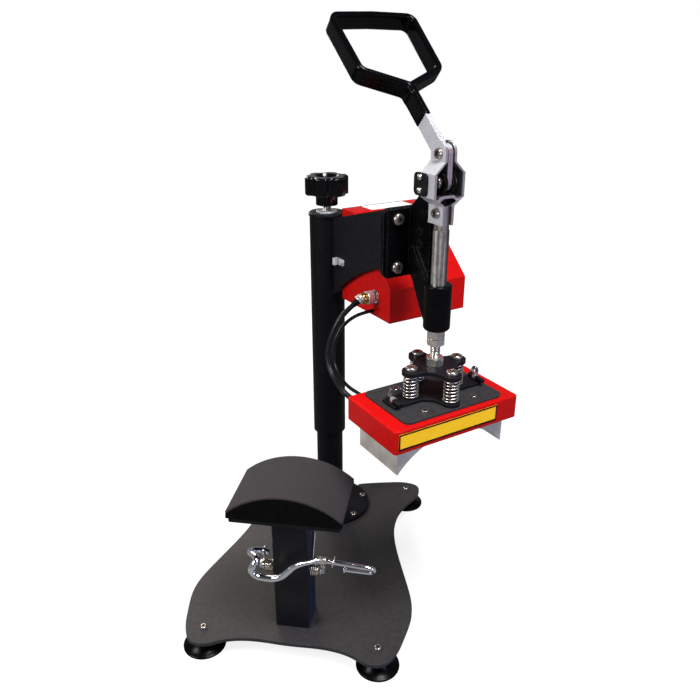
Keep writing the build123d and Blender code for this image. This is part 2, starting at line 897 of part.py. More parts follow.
nose_outer_x = nose_gap + frame_sheet
with BuildPart() as frame_rivets:
    for places, grip in ((web_rivets, frame_sheet), (nose_rivets, nose_outer_x)):
        with BuildSketch(side(0)):
            with Locations(*places):
                Circle(rivet_radius)
        extrude(amount=grip, both=True)
        for outward in (-1, 1):
            with BuildSketch(side(outward * grip)):
                with Locations(*places):
                    Circle(rivet_radius * 1.7)
            extrude(amount=outward * rivet_head, taper=25)
finish(frame_rivets, "frame_rivets")

with BuildPart() as guide_sleeve:
    with BuildSketch(level(guide_bottom_z, 0, spindle_y)):
        Circle(guide_radius)
    extrude(amount=guide_top_z - guide_bottom_z)
    fillet(guide_sleeve.edges().group_by(Axis.Z)[0], 4)
    fillet(guide_sleeve.edges().group_by(Axis.Z)[-1], 2)
    with BuildSketch(level(guide_bottom_z, 0, spindle_y)):
        Circle(plunger_radius + shaft_gap)
    extrude(amount=guide_top_z - guide_bottom_z, mode=Mode.SUBTRACT)
finish(guide_sleeve, "guide_sleeve")

with BuildPart() as handle_pivot_bolt:
    with BuildSketch(side(-nose_outer_x, spindle_y, pivot_z)):
        Circle(pin_radius)
    extrude(amount=2 * nose_outer_x)
    with BuildSketch(side(-nose_outer_x, spindle_y, pivot_z)):
        Circle(pin_radius * 1.7)
    extrude(amount=-pivot_head_height)
    fillet(handle_pivot_bolt.edges().sort_by(Axis(arm_point(0, 0, 0), across))[0], 2)
    with BuildSketch(side(nose_outer_x, spindle_y, pivot_z)):
        RegularPolygon(pin_radius * 1.6, 6, major_radius=False)
    extrude(amount=pivot_head_height + 1)
finish(handle_pivot_bolt, "handle_pivot_bolt")

# ---------------------------------------------------------------- handle
lean = radians(handle_lean)
lean_up = back * sin(lean) + up * cos(lean)
lean_out = back * cos(lean) - up * sin(lean)
pivot_point = arm_point(0, spindle_y, pivot_z)
loop_plane = Plane(origin=pivot_point - lean_out * bar_offset, x_dir=across, z_dir=-lean_out)
stem_bottom = crank * cos(lean)


def bar_centre_line(outward):
    """The line followed by the middle of one handle bar, from above the crank to the top of the loop."""
    half = outward * (bar_seam / 2 + bar_thickness / 2)
    return FilletPolyline(
        (half, stem_bottom),
        (half, fork_distance),
        (outward * loop_half_width_bottom, loop_bottom),
        (outward * loop_half_width_top, loop_top),
        (outward * bar_seam / 2, loop_top + 2),
        radius=(6, 9, 9),
    )


def handle_bar(outward):
    """One flat bar: an upright crank with both pin holes, a leaning stem and half of the loop."""
    with BuildPart() as bar:
        with BuildSketch(loop_plane):
            with BuildLine():
                centre_line = bar_centre_line(outward)
            trace(centre_line, bar_thickness)
        extrude(amount=bar_width / 2, both=True)
        with BuildSketch(side(outward * bar_seam / 2, spindle_y, pivot_z)):
            with Locations((0, crank / 2)):
                SlotCenterToCenter(crank, bar_width, rotation=90)
        extrude(amount=outward * bar_thickness)
        with BuildSketch(side(0, spindle_y, pivot_z)):
            with Locations((0, 0), (0, crank)):
                Circle(pin_radius + shaft_gap)
        extrude(amount=outward * 2 * bar_thickness, mode=Mode.SUBTRACT)
    return bar.part


bars = [handle_bar(outward) for outward in (-1, 1)]
with BuildPart() as handle_bars:
    for bar_piece in bars:
        add(bar_piece)
finish(handle_bars, "handle_bars")

with BuildPart() as handle_grip:
    with BuildSketch(loop_plane):
        for outward in (-1, 1):
            with BuildLine():
                grip_line = bar_centre_line(outward)
            trace(grip_line, bar_thickness + 2 * vinyl)
        with Locations((0, bare_length)):
            Rectangle(bar_thickness, fork_distance - bare_length, align=(Align.CENTER, Align.MIN))
            Rectangle(60, 200, align=(Align.CENTER, Align.MAX), mode=Mode.SUBTRACT)
    extrude(amount=bar_width / 2 + vinyl, both=True)
    for bar_piece in bars:
        add(bar_piece, mode=Mode.SUBTRACT)
finish(handle_grip, "handle_grip")

# ---------------------------------------------------------------- toggle link
link_top_z = upper_pin_z + link_width / 2
link_bottom_z = lower_pin_z - link_width / 2
link_outer_x = link_gap + link_sheet
link_front_y = spindle_y + link_behind_pins - link_width / 2
link_middle_y = spindle_y + link_behind_pins
bulge_top_z = pivot_z + link_bulge_above_pivot
bulge_bottom_z = pivot_z - link_bulge_below_pivot
strap_top_z = lower_pin_z + 19
with BuildPart() as toggle_link:
    for outward in (-1, 1):
        with BuildSketch(front(link_front_y)):
            with BuildLine():
                Polyline(
                    (outward * link_gap, link_top_z),
                    (outward * link_gap, upper_pin_z - 8),
                    (outward * link_bulge_gap, bulge_top_z),
                    (outward * link_bulge_gap, bulge_bottom_z),
                    (outward * link_gap, lower_pin_z + 8),
                    (outward * link_gap, link_bottom_z),
                    (outward * link_outer_x, link_bottom_z),
                    (outward * link_outer_x, lower_pin_z + 8),
                    (outward * (link_bulge_gap + link_sheet), bulge_bottom_z),
                    (outward * (link_bulge_gap + link_sheet), bulge_top_z),
                    (outward * link_outer_x, upper_pin_z - 8),
                    (outward * link_outer_x, link_top_z),
                    close=True,
                )
            make_face()
        extrude(amount=-link_width)
    with BuildSketch(front(link_front_y + strap_inset)):
        with BuildLine():
            Polyline(
                (-strap_half_width, strap_top_z - strap_drop),
                (-strap_half_width / 2, strap_top_z),
                (strap_half_width / 2, strap_top_z),
                (strap_half_width, strap_top_z - strap_drop),
                (strap_half_width - strap_end, strap_top_z - strap_drop - strap_end),
                (strap_half_width / 2 - 1, strap_top_z - link_sheet),
                (1 - strap_half_width / 2, strap_top_z - link_sheet),
                (strap_end - strap_half_width, strap_top_z - strap_drop - strap_end),
                close=True,
            )
        make_face()
    extrude(amount=-(link_width - 2 * strap_inset))
    with BuildSketch(side(0)):
        with Locations((link_middle_y, (upper_pin_z + lower_pin_z) / 2)):
            outline = Rectangle(link_width, link_top_z - link_bottom_z)
        fillet(outline.vertices().group_by(Axis.Y)[-1], link_width / 2 - 0.1)
        chamfer(outline.vertices().group_by(Axis.Y)[0], link_corner)
    extrude(amount=40, both=True, mode=Mode.INTERSECT)
    with BuildSketch(side(0)):
        with Locations((spindle_y, upper_pin_z), (spindle_y, lower_pin_z)):
            Circle(pin_radius)
    extrude(amount=40, both=True, mode=Mode.SUBTRACT)
finish(toggle_link, "toggle_link")

# One long bolt joins the handle to the link. Two short bolts stand for the pin at the plunger.
washer_inner_x = bar_seam / 2 + bar_thickness + running_gap
with BuildPart() as link_bolts:
    with BuildSketch(side(0, spindle_y, upper_pin_z)):
        Circle(pin_radius)
    extrude(amount=link_outer_x, both=True)
    for outward in (-1, 1):
        with BuildSketch(side(outward * washer_inner_x, spindle_y, upper_pin_z)):
            Circle(pin_radius * 1.7)
        extrude(amount=outward * (link_gap - washer_inner_x))
        with BuildSketch(side(outward * link_gap, spindle_y, lower_pin_z)):
            Circle(pin_radius)
        extrude(amount=outward * link_sheet)
        with BuildSketch(side(outward * link_outer_x, spindle_y, upper_pin_z)):
            Circle(pin_radius * 1.45)
        extrude(amount=outward * 3.6, taper=12)
        with BuildSketch(side(outward * link_outer_x, spindle_y, lower_pin_z)):
            Circle(pin_radius * 1.45)
        extrude(amount=outward * 3.6, taper=12)
        with BuildSketch(side(outward * (link_outer_x + 3.6), spindle_y, upper_pin_z)):
            RegularPolygon(2.4, 6, major_radius=False)
            with Locations((0, -link_length)):
                RegularPolygon(2.4, 6, major_radius=False)
        extrude(amount=-outward * 2, mode=Mode.SUBTRACT)
finish(link_bolts, "link_bolts")

# ---------------------------------------------------------------- plunger
plunger_bottom_z = guide_bottom_z - running_gap
tongue_top_z = lower_pin_z + tongue_top_above_pin
tongue_bottom_z = tongue_top_z - tongue_length
with BuildPart() as plunger:
    with BuildSketch(level(plunger_bottom_z, 0, spindle_y)):
        Circle(plunger_radius)
    extrude(amount=tongue_bottom_z - plunger_bottom_z)
    with BuildSketch(level(tongue_bottom_z, 0, spindle_y)):
        Circle(plunger_radius)
        Rectangle(tongue_thickness, 2 * plunger_radius, mode=Mode.INTERSECT)
    extrude(amount=tongue_length)
    with BuildSketch(side(0, spindle_y, lower_pin_z)):
        Circle(pin_radius + shaft_gap)
    extrude(amount=tongue_thickness, both=True, mode=Mode.SUBTRACT)
    with BuildSketch(level(plunger_bottom_z, 0, spindle_y)):
        Circle(screw_radius)
    extrude(amount=stud_socket_depth, mode=Mode.SUBTRACT)
finish(plunger, "plunger")

# ---------------------------------------------------------------- heights of the spring head
element_apex_z = form_apex_z + head_gap_when_pressed + stroke
element_bottom_z = element_apex_z - element_side_height
cover_top_z = element_apex_z + cover_height
head_plate_top_z = cover_top_z + head_plate_thickness
lower_cross_top_z = head_plate_top_z + lower_cross_thickness
upper_cross_z = lower_cross_top_z + spring_length
upper_cross_top_z = upper_cross_z + upper_cross_thickness
cross_nut_top_z = upper_cross_top_z + cross_nut_height


def spring_places():
    """The four ears of the crosses, about the spindle."""
    return PolarLocations(cross_ear_pitch, 4)


with BuildPart() as adjusting_stud:
    with BuildSketch(level(upper_cross_z, 0, spindle_y)):
        Circle(screw_radius)
    extrude(amount=plunger_bottom_z + stud_socket_depth - upper_cross_z)
finish(adjusting_stud, "adjusting_stud")

lock_nut = hex_nut(nut_across_flats, lock_nut_height, screw_radius)
thin_nut = hex_nut(nut_across_flats, thin_nut_height, screw_radius)
cross_nut = hex_nut(nut_across_flats, cross_nut_height, screw_radius)
with BuildPart() as lock_nuts:
    with Locations(level(plunger_bottom_z - lock_nut_height, 0, spindle_y)):
        add(lock_nut)
    with Locations(level(plunger_bottom_z - lock_nut_height - thin_nut_height - 0.2, 0, spindle_y)):
        add(thin_nut)
    with Locations(level(upper_cross_top_z, 0, spindle_y)):
        add(cross_nut)
finish(lock_nuts, "lock_nuts")

waist_bow = (
    (cross_ear_pitch**2 + cross_waist_radius**2 - sqrt(2) * cross_ear_pitch * cross_waist_radius)
    - cross_ear_radius**2
) / (2 * cross_ear_radius + sqrt(2) * cross_ear_pitch - 2 * cross_waist_radius)


def cross_outline():
    """A four-eared cross with hollow sides, drawn in the sketch that is open."""
    Polygon(
        (cross_ear_pitch, -cross_ear_radius),
        (cross_ear_pitch, cross_ear_radius),
        (cross_ear_radius, cross_ear_pitch),
        (-cross_ear_radius, cross_ear_pitch),
        (-cross_ear_pitch, cross_ear_radius),
        (-cross_ear_pitch, -cross_ear_radius),
        (-cross_ear_radius, -cross_ear_pitch),
        (cross_ear_radius, -cross_ear_pitch),
    )
    with PolarLocations(cross_waist_radius + waist_bow, 4, start_angle=45):
        Circle(waist_bow, mode=Mode.SUBTRACT)
    with spring_places():
        Circle(cross_ear_radius)


with BuildPart() as upper_cross_plate:
    with BuildSketch(level(upper_cross_z, 0, spindle_y)):
        cross_outline()
        Circle(screw_radius, mode=Mode.SUBTRACT)
        with spring_places():
            Circle(spring_bolt_radius + running_gap, mode=Mode.SUBTRACT)
    extrude(amount=upper_cross_thickness)
finish(upper_cross_plate, "upper_cross_plate")

with BuildPart() as lower_cross_plate:
    with BuildSketch(level(head_plate_top_z, 0, spindle_y)):
        cross_outline()
        Rectangle(2 * cross_bar_half_length, cross_bar_width)
        with spring_places():
            Circle(spring_bolt_radius, mode=Mode.SUBTRACT)
    extrude(amount=lower_cross_thickness)
finish(lower_cross_plate, "lower_cross_plate")

# The springs are wound once and set under the four ears. Each bolt passes down the middle of its spring.
with BuildPart() as spring_shape:
    with BuildLine() as spring_wire:
        Helix(
            (spring_length - 2 * spring_wire_radius) / spring_turns,
            spring_length - 2 * spring_wire_radius,
            spring_radius - spring_wire_radius,
        )
    with BuildSketch(Plane(origin=spring_wire.line @ 0, z_dir=spring_wire.line % 0)):
        Circle(spring_wire_radius)
    sweep(path=spring_wire.line, is_frenet=True)

with BuildPart() as compression_springs:
    with Locations(level(lower_cross_top_z + spring_wire_radius, 0, spindle_y)):
        with spring_places():
            add(spring_shape.part)
finish(compression_springs, "compression_springs")

spring_bolt_seat_z = upper_cross_top_z + running_gap
spring_bolt_length = spring_bolt_seat_z - head_plate_top_z
spring_bolt = button_bolt(spring_bolt_radius, spring_bolt_length, button_head_radius, button_head_height)
head_screw = pan_screw(
    head_screw_radius, head_plate_thickness, head_screw_head_radius, head_screw_head_height
)


def head_screw_grid():
    """The four screws through the head plate."""
    return GridLocations(head_screw_spacing_x, head_screw_spacing_y, 2, 2)


with BuildPart() as head_fasteners:
    with Locations(level(spring_bolt_seat_z, 0, spindle_y)):
        with spring_places():
            add(spring_bolt)
    with Locations(level(head_plate_top_z, 0, spindle_y)):
        with head_screw_grid():
            add(head_screw)
finish(head_fasteners, "head_fasteners")

# At each end of the lower cross a small block carries a bent strip that hooks over the head plate.
clip_block_x = cross_bar_half_length - clip_block_inset
clip_strip_z = clip_block_height + clip_strip_thickness / 2
with BuildPart() as end_clips:
    for outward in (-1, 1):
        with BuildSketch(level(lower_cross_top_z, outward * clip_block_x, spindle_y)):
            RectangleRounded(clip_block_length, cross_bar_width - 6, 2)
        extrude(amount=clip_block_height)
        with BuildSketch(front(spindle_y - clip_strip_width / 2, outward * clip_block_x, lower_cross_top_z)):
            with BuildLine():
                strip = FilletPolyline(
                    (0, clip_strip_z),
                    (outward * (clip_block_inset + 0.8), clip_strip_z),
                    (outward * (clip_block_inset + 5), 1 - lower_cross_thickness),
                    radius=(2 * clip_strip_thickness,),
                )
            trace(strip, clip_strip_thickness)
        extrude(amount=-clip_strip_width)
finish(end_clips, "end_clips")

with BuildPart() as head_top_plate:
    with BuildSketch(level(cover_top_z, 0, spindle_y)):
        RectangleRounded(head_plate_length, head_plate_width, 8)
        with head_screw_grid():
            Circle(head_screw_radius, mode=Mode.SUBTRACT)
    extrude(amount=head_plate_thickness)
finish(head_top_plate, "head_top_plate")

with BuildPart() as head_cover:
    with BuildSketch(level(element_apex_z, 0, spindle_y)):
        RectangleRounded(cover_length, cover_width, 4)
    extrude(amount=cover_height)
    fillet(head_cover.edges().group_by(Axis.Z)[-1], 2.5)
    with BuildSketch(level(element_apex_z, 0, spindle_y)):
        RectangleRounded(cover_length - 2 * cover_sheet, cover_width - 2 * cover_sheet, 2.5)
    extrude(amount=cover_height - cover_sheet, mode=Mode.SUBTRACT)
finish(head_cover, "head_cover")

insulation_top_z = cover_top_z - cover_sheet
insulation_bottom_z = insulation_top_z - insulation_thickness
with BuildPart() as insulation_board:
    with BuildSketch(level(insulation_bottom_z, 0, spindle_y)):
        RectangleRounded(cover_length - 2 * cover_sheet - 1, cover_width - 2 * cover_sheet - 1, 2.5)
    extrude(amount=insulation_thickness)
finish(insulation_board, "insulation_board")

# The element is an aluminium casting with a hollow underside that matches the form.
with BuildPart() as heating_element:
    with BuildSketch(front(spindle_y - element_width / 2)):
        with Locations((0, element_bottom_z)):
            Rectangle(
                element_length, insulation_bottom_z - element_bottom_z, align=(Align.CENTER, Align.MIN)
            )
        with Locations((0, element_apex_z - element_radius)):
            Circle(element_radius, mode=Mode.SUBTRACT)
    extrude(amount=-element_width)
finish(heating_element, "heating_element")

label_left_x = -cover_length / 2 + label_margin
label_bottom_z = element_apex_z + label_margin
with BuildPart() as label_plate:
    with BuildSketch(front(spindle_y - cover_width / 2, label_left_x, label_bottom_z)):
        Rectangle(label_length, label_height, align=(Align.MIN, Align.MIN))
    extrude(amount=label_thickness)
finish(label_plate, "label_plate")

# ---------------------------------------------------------------- control box
box_centre_x = arm_thickness / 2 + box_length / 2
box_left_x = arm_thickness / 2
slope = Vector(box_top_front_y - box_front_y, box_top_z - box_lower_front_z)
panel_out = up * (slope.X / slope.length) - back * (slope.Y / slope.length)
panel_plane = Plane(
    origin=arm_point(
        box_centre_x, (box_front_y + box_top_front_y) / 2, (box_lower_front_z + box_top_z) / 2
    ),
    x_dir=across,
    z_dir=panel_out,
)
button_places = [(x, -24) for x in (-28, 0, 28)]
window_place = (0, 18)

with BuildPart() as control_box:
    with BuildSketch(side(box_left_x)):
        with BuildLine():
            Polyline(
                (box_rear_y, box_bottom_z),
                (box_front_y, box_bottom_z),
                (box_front_y, box_lower_front_z),
                (box_top_front_y, box_top_z),
                (box_rear_y, box_top_z),
                close=True,
            )
        make_face()
    extrude(amount=box_length)
    open_face = control_box.faces().sort_by(Axis(arm_point(0, 0, 0), back))[-1]
    offset(amount=-box_sheet, openings=open_face, kind=Kind.INTERSECTION)
    with BuildSketch(panel_plane):
        with Locations(*button_places):
            Circle(button_radius + running_gap)
        with Locations(window_place):
            Rectangle(window_length, window_height)
    extrude(amount=-2 * box_sheet, mode=Mode.SUBTRACT)
    with BuildSketch(side(box_left_x)):
        with Locations((socket_y, socket_z)):
            Circle(socket_hole_radius)
        with Locations((sensor_exit_y, box_bottom_z + sensor_exit_height)):
            Circle(sensor_cable_radius)
    extrude(amount=2 * box_sheet, mode=Mode.SUBTRACT)
    with BuildSketch(level(box_bottom_z, inlet_x, inlet_y)):
        Rectangle(inlet_length, inlet_width)
    extrude(amount=2 * box_sheet, mode=Mode.SUBTRACT)
finish(control_box, "control_box")

# The rear of the box is closed by a flat cover with a rim that plugs into the shell.
box_centre_z = (box_bottom_z + box_top_z) / 2
with BuildPart() as box_cover:
    with BuildSketch(front(box_rear_y, box_centre_x, box_centre_z)):
        Rectangle(box_length, box_height)
    extrude(amount=-box_sheet)
    with BuildSketch(front(box_rear_y, box_centre_x, box_centre_z)):
        Rectangle(box_length - 2 * box_sheet, box_height - 2 * box_sheet)
        Rectangle(box_length - 4 * box_sheet, box_height - 4 * box_sheet, mode=Mode.SUBTRACT)
    extrude(amount=cover_rim_depth)
finish(box_cover, "box_cover")

with BuildPart() as panel_plate:
    with BuildSketch(panel_plane):
        RectangleRounded(panel_length, panel_height, 3)
        with Locations(*button_places):
            Circle(button_radius + running_gap, mode=Mode.SUBTRACT)
        with Locations(window_place):
            Rectangle(window_length, window_height, mode=Mode.SUBTRACT)
    extrude(amount=panel_thickness)
finish(panel_plate, "panel_plate")

with BuildPart() as display_window:
    with BuildSketch(panel_plane):
        with Locations(window_place):
            Rectangle(window_length, window_height)
    extrude(amount=panel_thickness + 0.4)
    with BuildSketch(panel_plane):
        with Locations(window_place):
            Rectangle(window_length, window_height)
    extrude(amount=-board_standoff)
finish(display_window, "display_window")

button_collar = 1.5
button_foot = box_sheet + running_gap + button_collar + 2
for name, place in zip(("button_down", "button_set", "button_up"), button_places):
    with BuildPart() as button:
        with BuildSketch(panel_plane.offset(panel_thickness + button_proud)):
            with Locations(place):
                Circle(button_radius)
        extrude(amount=-(panel_thickness + button_proud + box_sheet + running_gap))
        with BuildSketch(panel_plane.offset(-(box_sheet + running_gap))):
            with Locations(place):
                Circle(button_radius + 1.5)
        extrude(amount=-button_collar)
        with BuildSketch(panel_plane.offset(-(box_sheet + running_gap + button_collar))):
            with Locations(place):
                Circle(button_radius * 0.4)
        extrude(amount=-2)
    finish(button, name)

with BuildPart() as circuit_board:
    with BuildSketch(panel_plane.offset(-board_standoff)):
        Rectangle(circuit_length, circuit_height)
    extrude(amount=-circuit_thickness)
    with BuildSketch(panel_plane.offset(-board_standoff)):
        with Locations(*button_places):
            Rectangle(6, 6)
    extrude(amount=board_standoff - button_foot - button_travel - running_gap)
    with BuildSketch(panel_plane.offset(-board_standoff)):
        with GridLocations(circuit_length - 10, circuit_height - 10, 2, 2):
            Circle(3)
    extrude(amount=board_standoff - box_sheet)
finish(circuit_board, "circuit_board")

# Mains inlet and power switch are one moulding let into the floor of the box.
rocker_slot_half = sqrt((rocker_length / 2) ** 2 + 4**2) + running_gap
with BuildPart() as mains_inlet:
    with BuildSketch(level(box_bottom_z, inlet_x, inlet_y)):
        RectangleRounded(inlet_length + 6, inlet_width + 6, 3)
    extrude(amount=-inlet_flange)
    with BuildSketch(level(box_bottom_z, inlet_x, inlet_y)):
        Rectangle(inlet_length, inlet_width)
    extrude(amount=inlet_depth)
    with BuildSketch(level(box_bottom_z - inlet_flange, inlet_x + recess_x, inlet_y)):
        RectangleRounded(recess_length, recess_width, 3)
    extrude(amount=recess_depth, mode=Mode.SUBTRACT)
    with BuildSketch(level(box_bottom_z - inlet_flange + recess_depth, inlet_x + recess_x, inlet_y)):
        with Locations((0, 3), (-7, -2.5), (7, -2.5)):
            Rectangle(2, 4)
    extrude(amount=-7)
    with BuildSketch(level(box_bottom_z - inlet_flange, inlet_x + rocker_x, inlet_y)):
        Rectangle(rocker_width + 2 * running_gap, 2 * rocker_slot_half)
    extrude(amount=recess_depth, mode=Mode.SUBTRACT)
    with BuildSketch(side(inlet_x + rocker_x, inlet_y, box_bottom_z + 1)):
        Circle(rocker_pin_radius + shaft_gap)
    extrude(amount=rocker_width / 2 + 1.2, both=True, mode=Mode.SUBTRACT)
finish(mains_inlet, "mains_inlet")

with BuildPart() as power_rocker:
    with BuildSketch(side(inlet_x + rocker_x, inlet_y, box_bottom_z + 1)):
        with Locations(Location((0, 0), rocker_tilt)):
            Polygon(
                (-rocker_length / 2, -4),
                (0, -2.4),
                (rocker_length / 2, -4),
                (rocker_length * 0.3, 6.5),
                (-rocker_length * 0.3, 6.5),
                align=None,
            )
    extrude(amount=rocker_width / 2, both=True)
    with BuildSketch(side(inlet_x + rocker_x, inlet_y, box_bottom_z + 1)):
        Circle(rocker_pin_radius)
    extrude(amount=rocker_width / 2 + 1, both=True)
finish(power_rocker, "power_rocker")

# ---------------------------------------------------------------- socket, plug, glands and cables
socket_face_x = box_left_x - socket_flange
ring_inner_x = socket_face_x - 4
body_inner_x = ring_inner_x - plug_ring_length
plug_tail_x = body_inner_x - plug_body_length
plug_end = arm_point(plug_tail_x - 11, socket_y + 0.5, socket_z - 6)
plug_neck = plug_end + arm_point(11.7, -0.65, 7.8)
with BuildPart() as panel_socket:
    with BuildSketch(side(box_left_x, socket_y, socket_z)):
        Circle(socket_radius)
    extrude(amount=-socket_flange)
    with BuildSketch(side(socket_face_x, socket_y, socket_z)):
        Circle(socket_thread_radius)
    extrude(amount=ring_inner_x - socket_face_x)
    with BuildSketch(side(box_left_x, socket_y, socket_z)):
        Circle(socket_hole_radius)
    extrude(amount=9)
    with BuildSketch(side(box_left_x + box_sheet, socket_y, socket_z)):
        RegularPolygon(socket_radius - 0.5, 6, major_radius=False)
    extrude(amount=2.5)
finish(panel_socket, "panel_socket")

with BuildPart() as cable_plug:
    with BuildSketch(side(ring_inner_x, socket_y, socket_z)):
        Circle(plug_ring_radius)
    extrude(amount=-plug_ring_length)
    with BuildSketch(side(body_inner_x, socket_y, socket_z)):
        Circle(plug_body_radius)
    extrude(amount=-plug_body_length)
    with BuildSketch(Plane(origin=plug_neck, z_dir=plug_end - plug_neck)):
        Circle(plug_boot_radius)
    extrude(amount=(plug_end - plug_neck).length)
finish(cable_plug, "cable_plug")

cover_rear_y = spindle_y + cover_width / 2
gland_z = element_apex_z + 14
gland_x = -72
sensor_gland_x = -57
gland_length = 10
gland_end_y = cover_rear_y + gland_length

head_cable_points = (
    (plug_tail_x - 11, socket_y + 0.5, socket_z - 6),
    (plug_tail_x - 22.25, socket_y + 1.125, socket_z - 13.5),
    (-51.5, -116, 391.5),
    (-59.5, -114, 374),
    (-64.5, -113.5, 355),
    (-67, -118, 338.5),
    (-67.5, -130, 326),
    (-67.5, -146.5, 319.5),
    (-70, -162, 317.2),
    (gland_x, gland_end_y + 14, gland_z),
    (gland_x, gland_end_y, gland_z),
)
sensor_cable_points = (
    (box_left_x + box_sheet, sensor_exit_y, box_bottom_z + sensor_exit_height),
    (-11, sensor_exit_y, box_bottom_z + sensor_exit_height),
    (-27, -111, 391.5),
    (-40, -109, 382),
    (-49, -107.5, 367.5),
    (-54, -108, 351),
    (-56.5, -114, 335.5),
    (-57.5, -127, 324),
    (-57.8, -143, 318.5),
    (-57.6, -160, 317),
    (sensor_gland_x, gland_end_y + 15, gland_z),
    (sensor_gland_x, gland_end_y, gland_z),
)


def cord_radii(points):
    """The radius of each bend: 0.45 of the shorter run beside it, over the tangent of half the turn."""
    places = [arm_point(*point) for point in points]
    runs = [end - start for start, end in zip(places, places[1:])]
    radii = []
    for before, after in zip(runs, runs[1:]):
        half_turn = radians(before.get_angle(after)) / 2
        radii.append(0.45 * min(before.length, after.length) / tan(half_turn))
    return radii


def cord(points, radius):
    """A round cable of straight runs and tangent arcs through the points."""
    radii = cord_radii(points)
    with BuildPart() as cable:
        with BuildLine() as route:
            middle_line = FilletPolyline(*[arm_point(*point) for point in points], radius=radii)
        with BuildSketch(Plane(origin=middle_line @ 0, z_dir=middle_line % 0)):
            Circle(radius)
        sweep(path=route.line)
    length = middle_line.length
    section = pi * radius**2
    print("cable length", round(length, 1), "volume ratio", round(cable.part.volume / (section * length), 4))
    print("bend radii", [round(bend, 1) for bend in radii])
    return cable.part


head_cord = cord(head_cable_points, cable_radius)
sensor_cord = cord(sensor_cable_points, sensor_cable_radius)
with BuildPart() as head_cable:
    add(head_cord)
finish(head_cable, "head_cable")

with BuildPart() as sensor_cable:
    add(sensor_cord)
finish(sensor_cable, "sensor_cable")

with BuildPart() as cable_glands:
    for x, bore in ((gland_x, cable_radius), (sensor_gland_x, sensor_cable_radius)):
        with BuildSketch(front(cover_rear_y, x, gland_z)):
            RegularPolygon(bore + 3, 6, major_radius=False)
        extrude(amount=-gland_length * 0.4)
        with BuildSketch(front(cover_rear_y, x, gland_z)):
            Circle(bore + 2)
        extrude(amount=-gland_length)
finish(cable_glands, "cable_glands")
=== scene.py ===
# %% [markdown]
# # A cap heat press
# The press stands on four suction feet. A column carries a swinging arm, the arm carries a toggle clamp,
# and the clamp drives a heated platen down on a curved form. The engineering model brings every metal part
# in its true place. This lesson gives each part its finish, and builds the pieces whose look depends on
# fine form: springs, threads, knurling, cables, rubber, foam and dipped vinyl.

# %% Load the fixed frame
import math

import bmesh
import bpy
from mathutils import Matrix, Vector


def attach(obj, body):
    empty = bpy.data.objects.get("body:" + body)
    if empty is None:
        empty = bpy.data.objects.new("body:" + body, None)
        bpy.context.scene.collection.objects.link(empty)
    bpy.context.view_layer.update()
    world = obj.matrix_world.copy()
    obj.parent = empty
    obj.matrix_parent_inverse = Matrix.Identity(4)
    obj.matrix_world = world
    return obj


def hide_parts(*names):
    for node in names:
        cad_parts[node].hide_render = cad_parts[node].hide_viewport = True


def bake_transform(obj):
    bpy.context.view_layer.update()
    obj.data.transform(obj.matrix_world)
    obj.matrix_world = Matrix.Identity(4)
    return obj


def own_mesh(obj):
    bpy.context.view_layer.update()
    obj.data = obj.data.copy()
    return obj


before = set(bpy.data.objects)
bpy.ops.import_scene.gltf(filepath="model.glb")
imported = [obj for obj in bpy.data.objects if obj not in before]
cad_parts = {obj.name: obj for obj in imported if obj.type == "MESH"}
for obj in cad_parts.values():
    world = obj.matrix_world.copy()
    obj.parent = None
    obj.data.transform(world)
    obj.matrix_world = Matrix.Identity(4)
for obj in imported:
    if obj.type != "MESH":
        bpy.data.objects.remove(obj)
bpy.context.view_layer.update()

# %% [markdown]
# ## The arm's own directions
# The arm rests swung 40 degrees to the operator's right, so most pieces are easier to place from the
# arm's own directions: across it, back towards the column, and up. Sizes are written in millimetres.

# %% Places on the arm
MM = 0.001
ARM_TURN = math.radians(40)
ACROSS = Vector((math.cos(ARM_TURN), math.sin(ARM_TURN), 0))
BACK = Vector((-math.sin(ARM_TURN), math.cos(ARM_TURN), 0))
UP = Vector((0, 0, 1))
SPINDLE_Y = -252


def arm_point(x, y, z):
    """A place given in millimetres across the arm, back along it and up."""
    return (ACROSS * x + BACK * y + UP * z) * MM


print("spindle stands at", [round(v, 4) for v in arm_point(0, SPINDLE_Y, 0)])

# %% [markdown]
# ## Nodes and colours
# Every finish below is a small node tree. One function adds a node with its settings and links. Colours
# are written as sRGB hex values, and one function turns them to the linear light that a shader works in.


# %% Node and colour helpers
def linear(hex_colour):
    """An sRGB hex value as linear red, green, blue and alpha."""
    parts = [int(hex_colour[i : i + 2], 16) / 255 for i in (1, 3, 5)]
    return [p / 12.92 if p <= 0.04045 else ((p + 0.055) / 1.055) ** 2.4 for p in parts] + [1.0]


def connect(node, sockets):
    """Fills a node's sockets. A node or an output is linked, and anything else is a plain value."""
    for name, value in sockets.items():
        if isinstance(value, bpy.types.Node):
            value = next(output for output in value.outputs if output.enabled)
        if isinstance(value, bpy.types.NodeSocket):
            node.id_data.links.new(value, node.inputs[name])
        else:
            node.inputs[name].default_value = value
    return node


def add_node(tree, kind, sockets=None, **settings):
    """Adds a node with its settings and links."""
    node = tree.nodes.new(kind)
    for name, value in settings.items():
        setattr(node, name, value)
    return connect(node, sockets or {})


print("a mid grey in linear light:", round(linear("#808080")[0], 3))

# %% [markdown]
# ## What finishes share
# A real skin drifts a little in colour, wears at its edges and has a fine relief. Its edges also get a
# painted highlight, and its recesses a painted shade. Each of these is a few nodes that several finishes use.
# A Mix node has its two colours in its sockets 6 and 7. Patterns are sized in millimetres, so a texture's
# scale is one over that size.


# %% Shared features of a finish
FIRST, SECOND = 6, 7


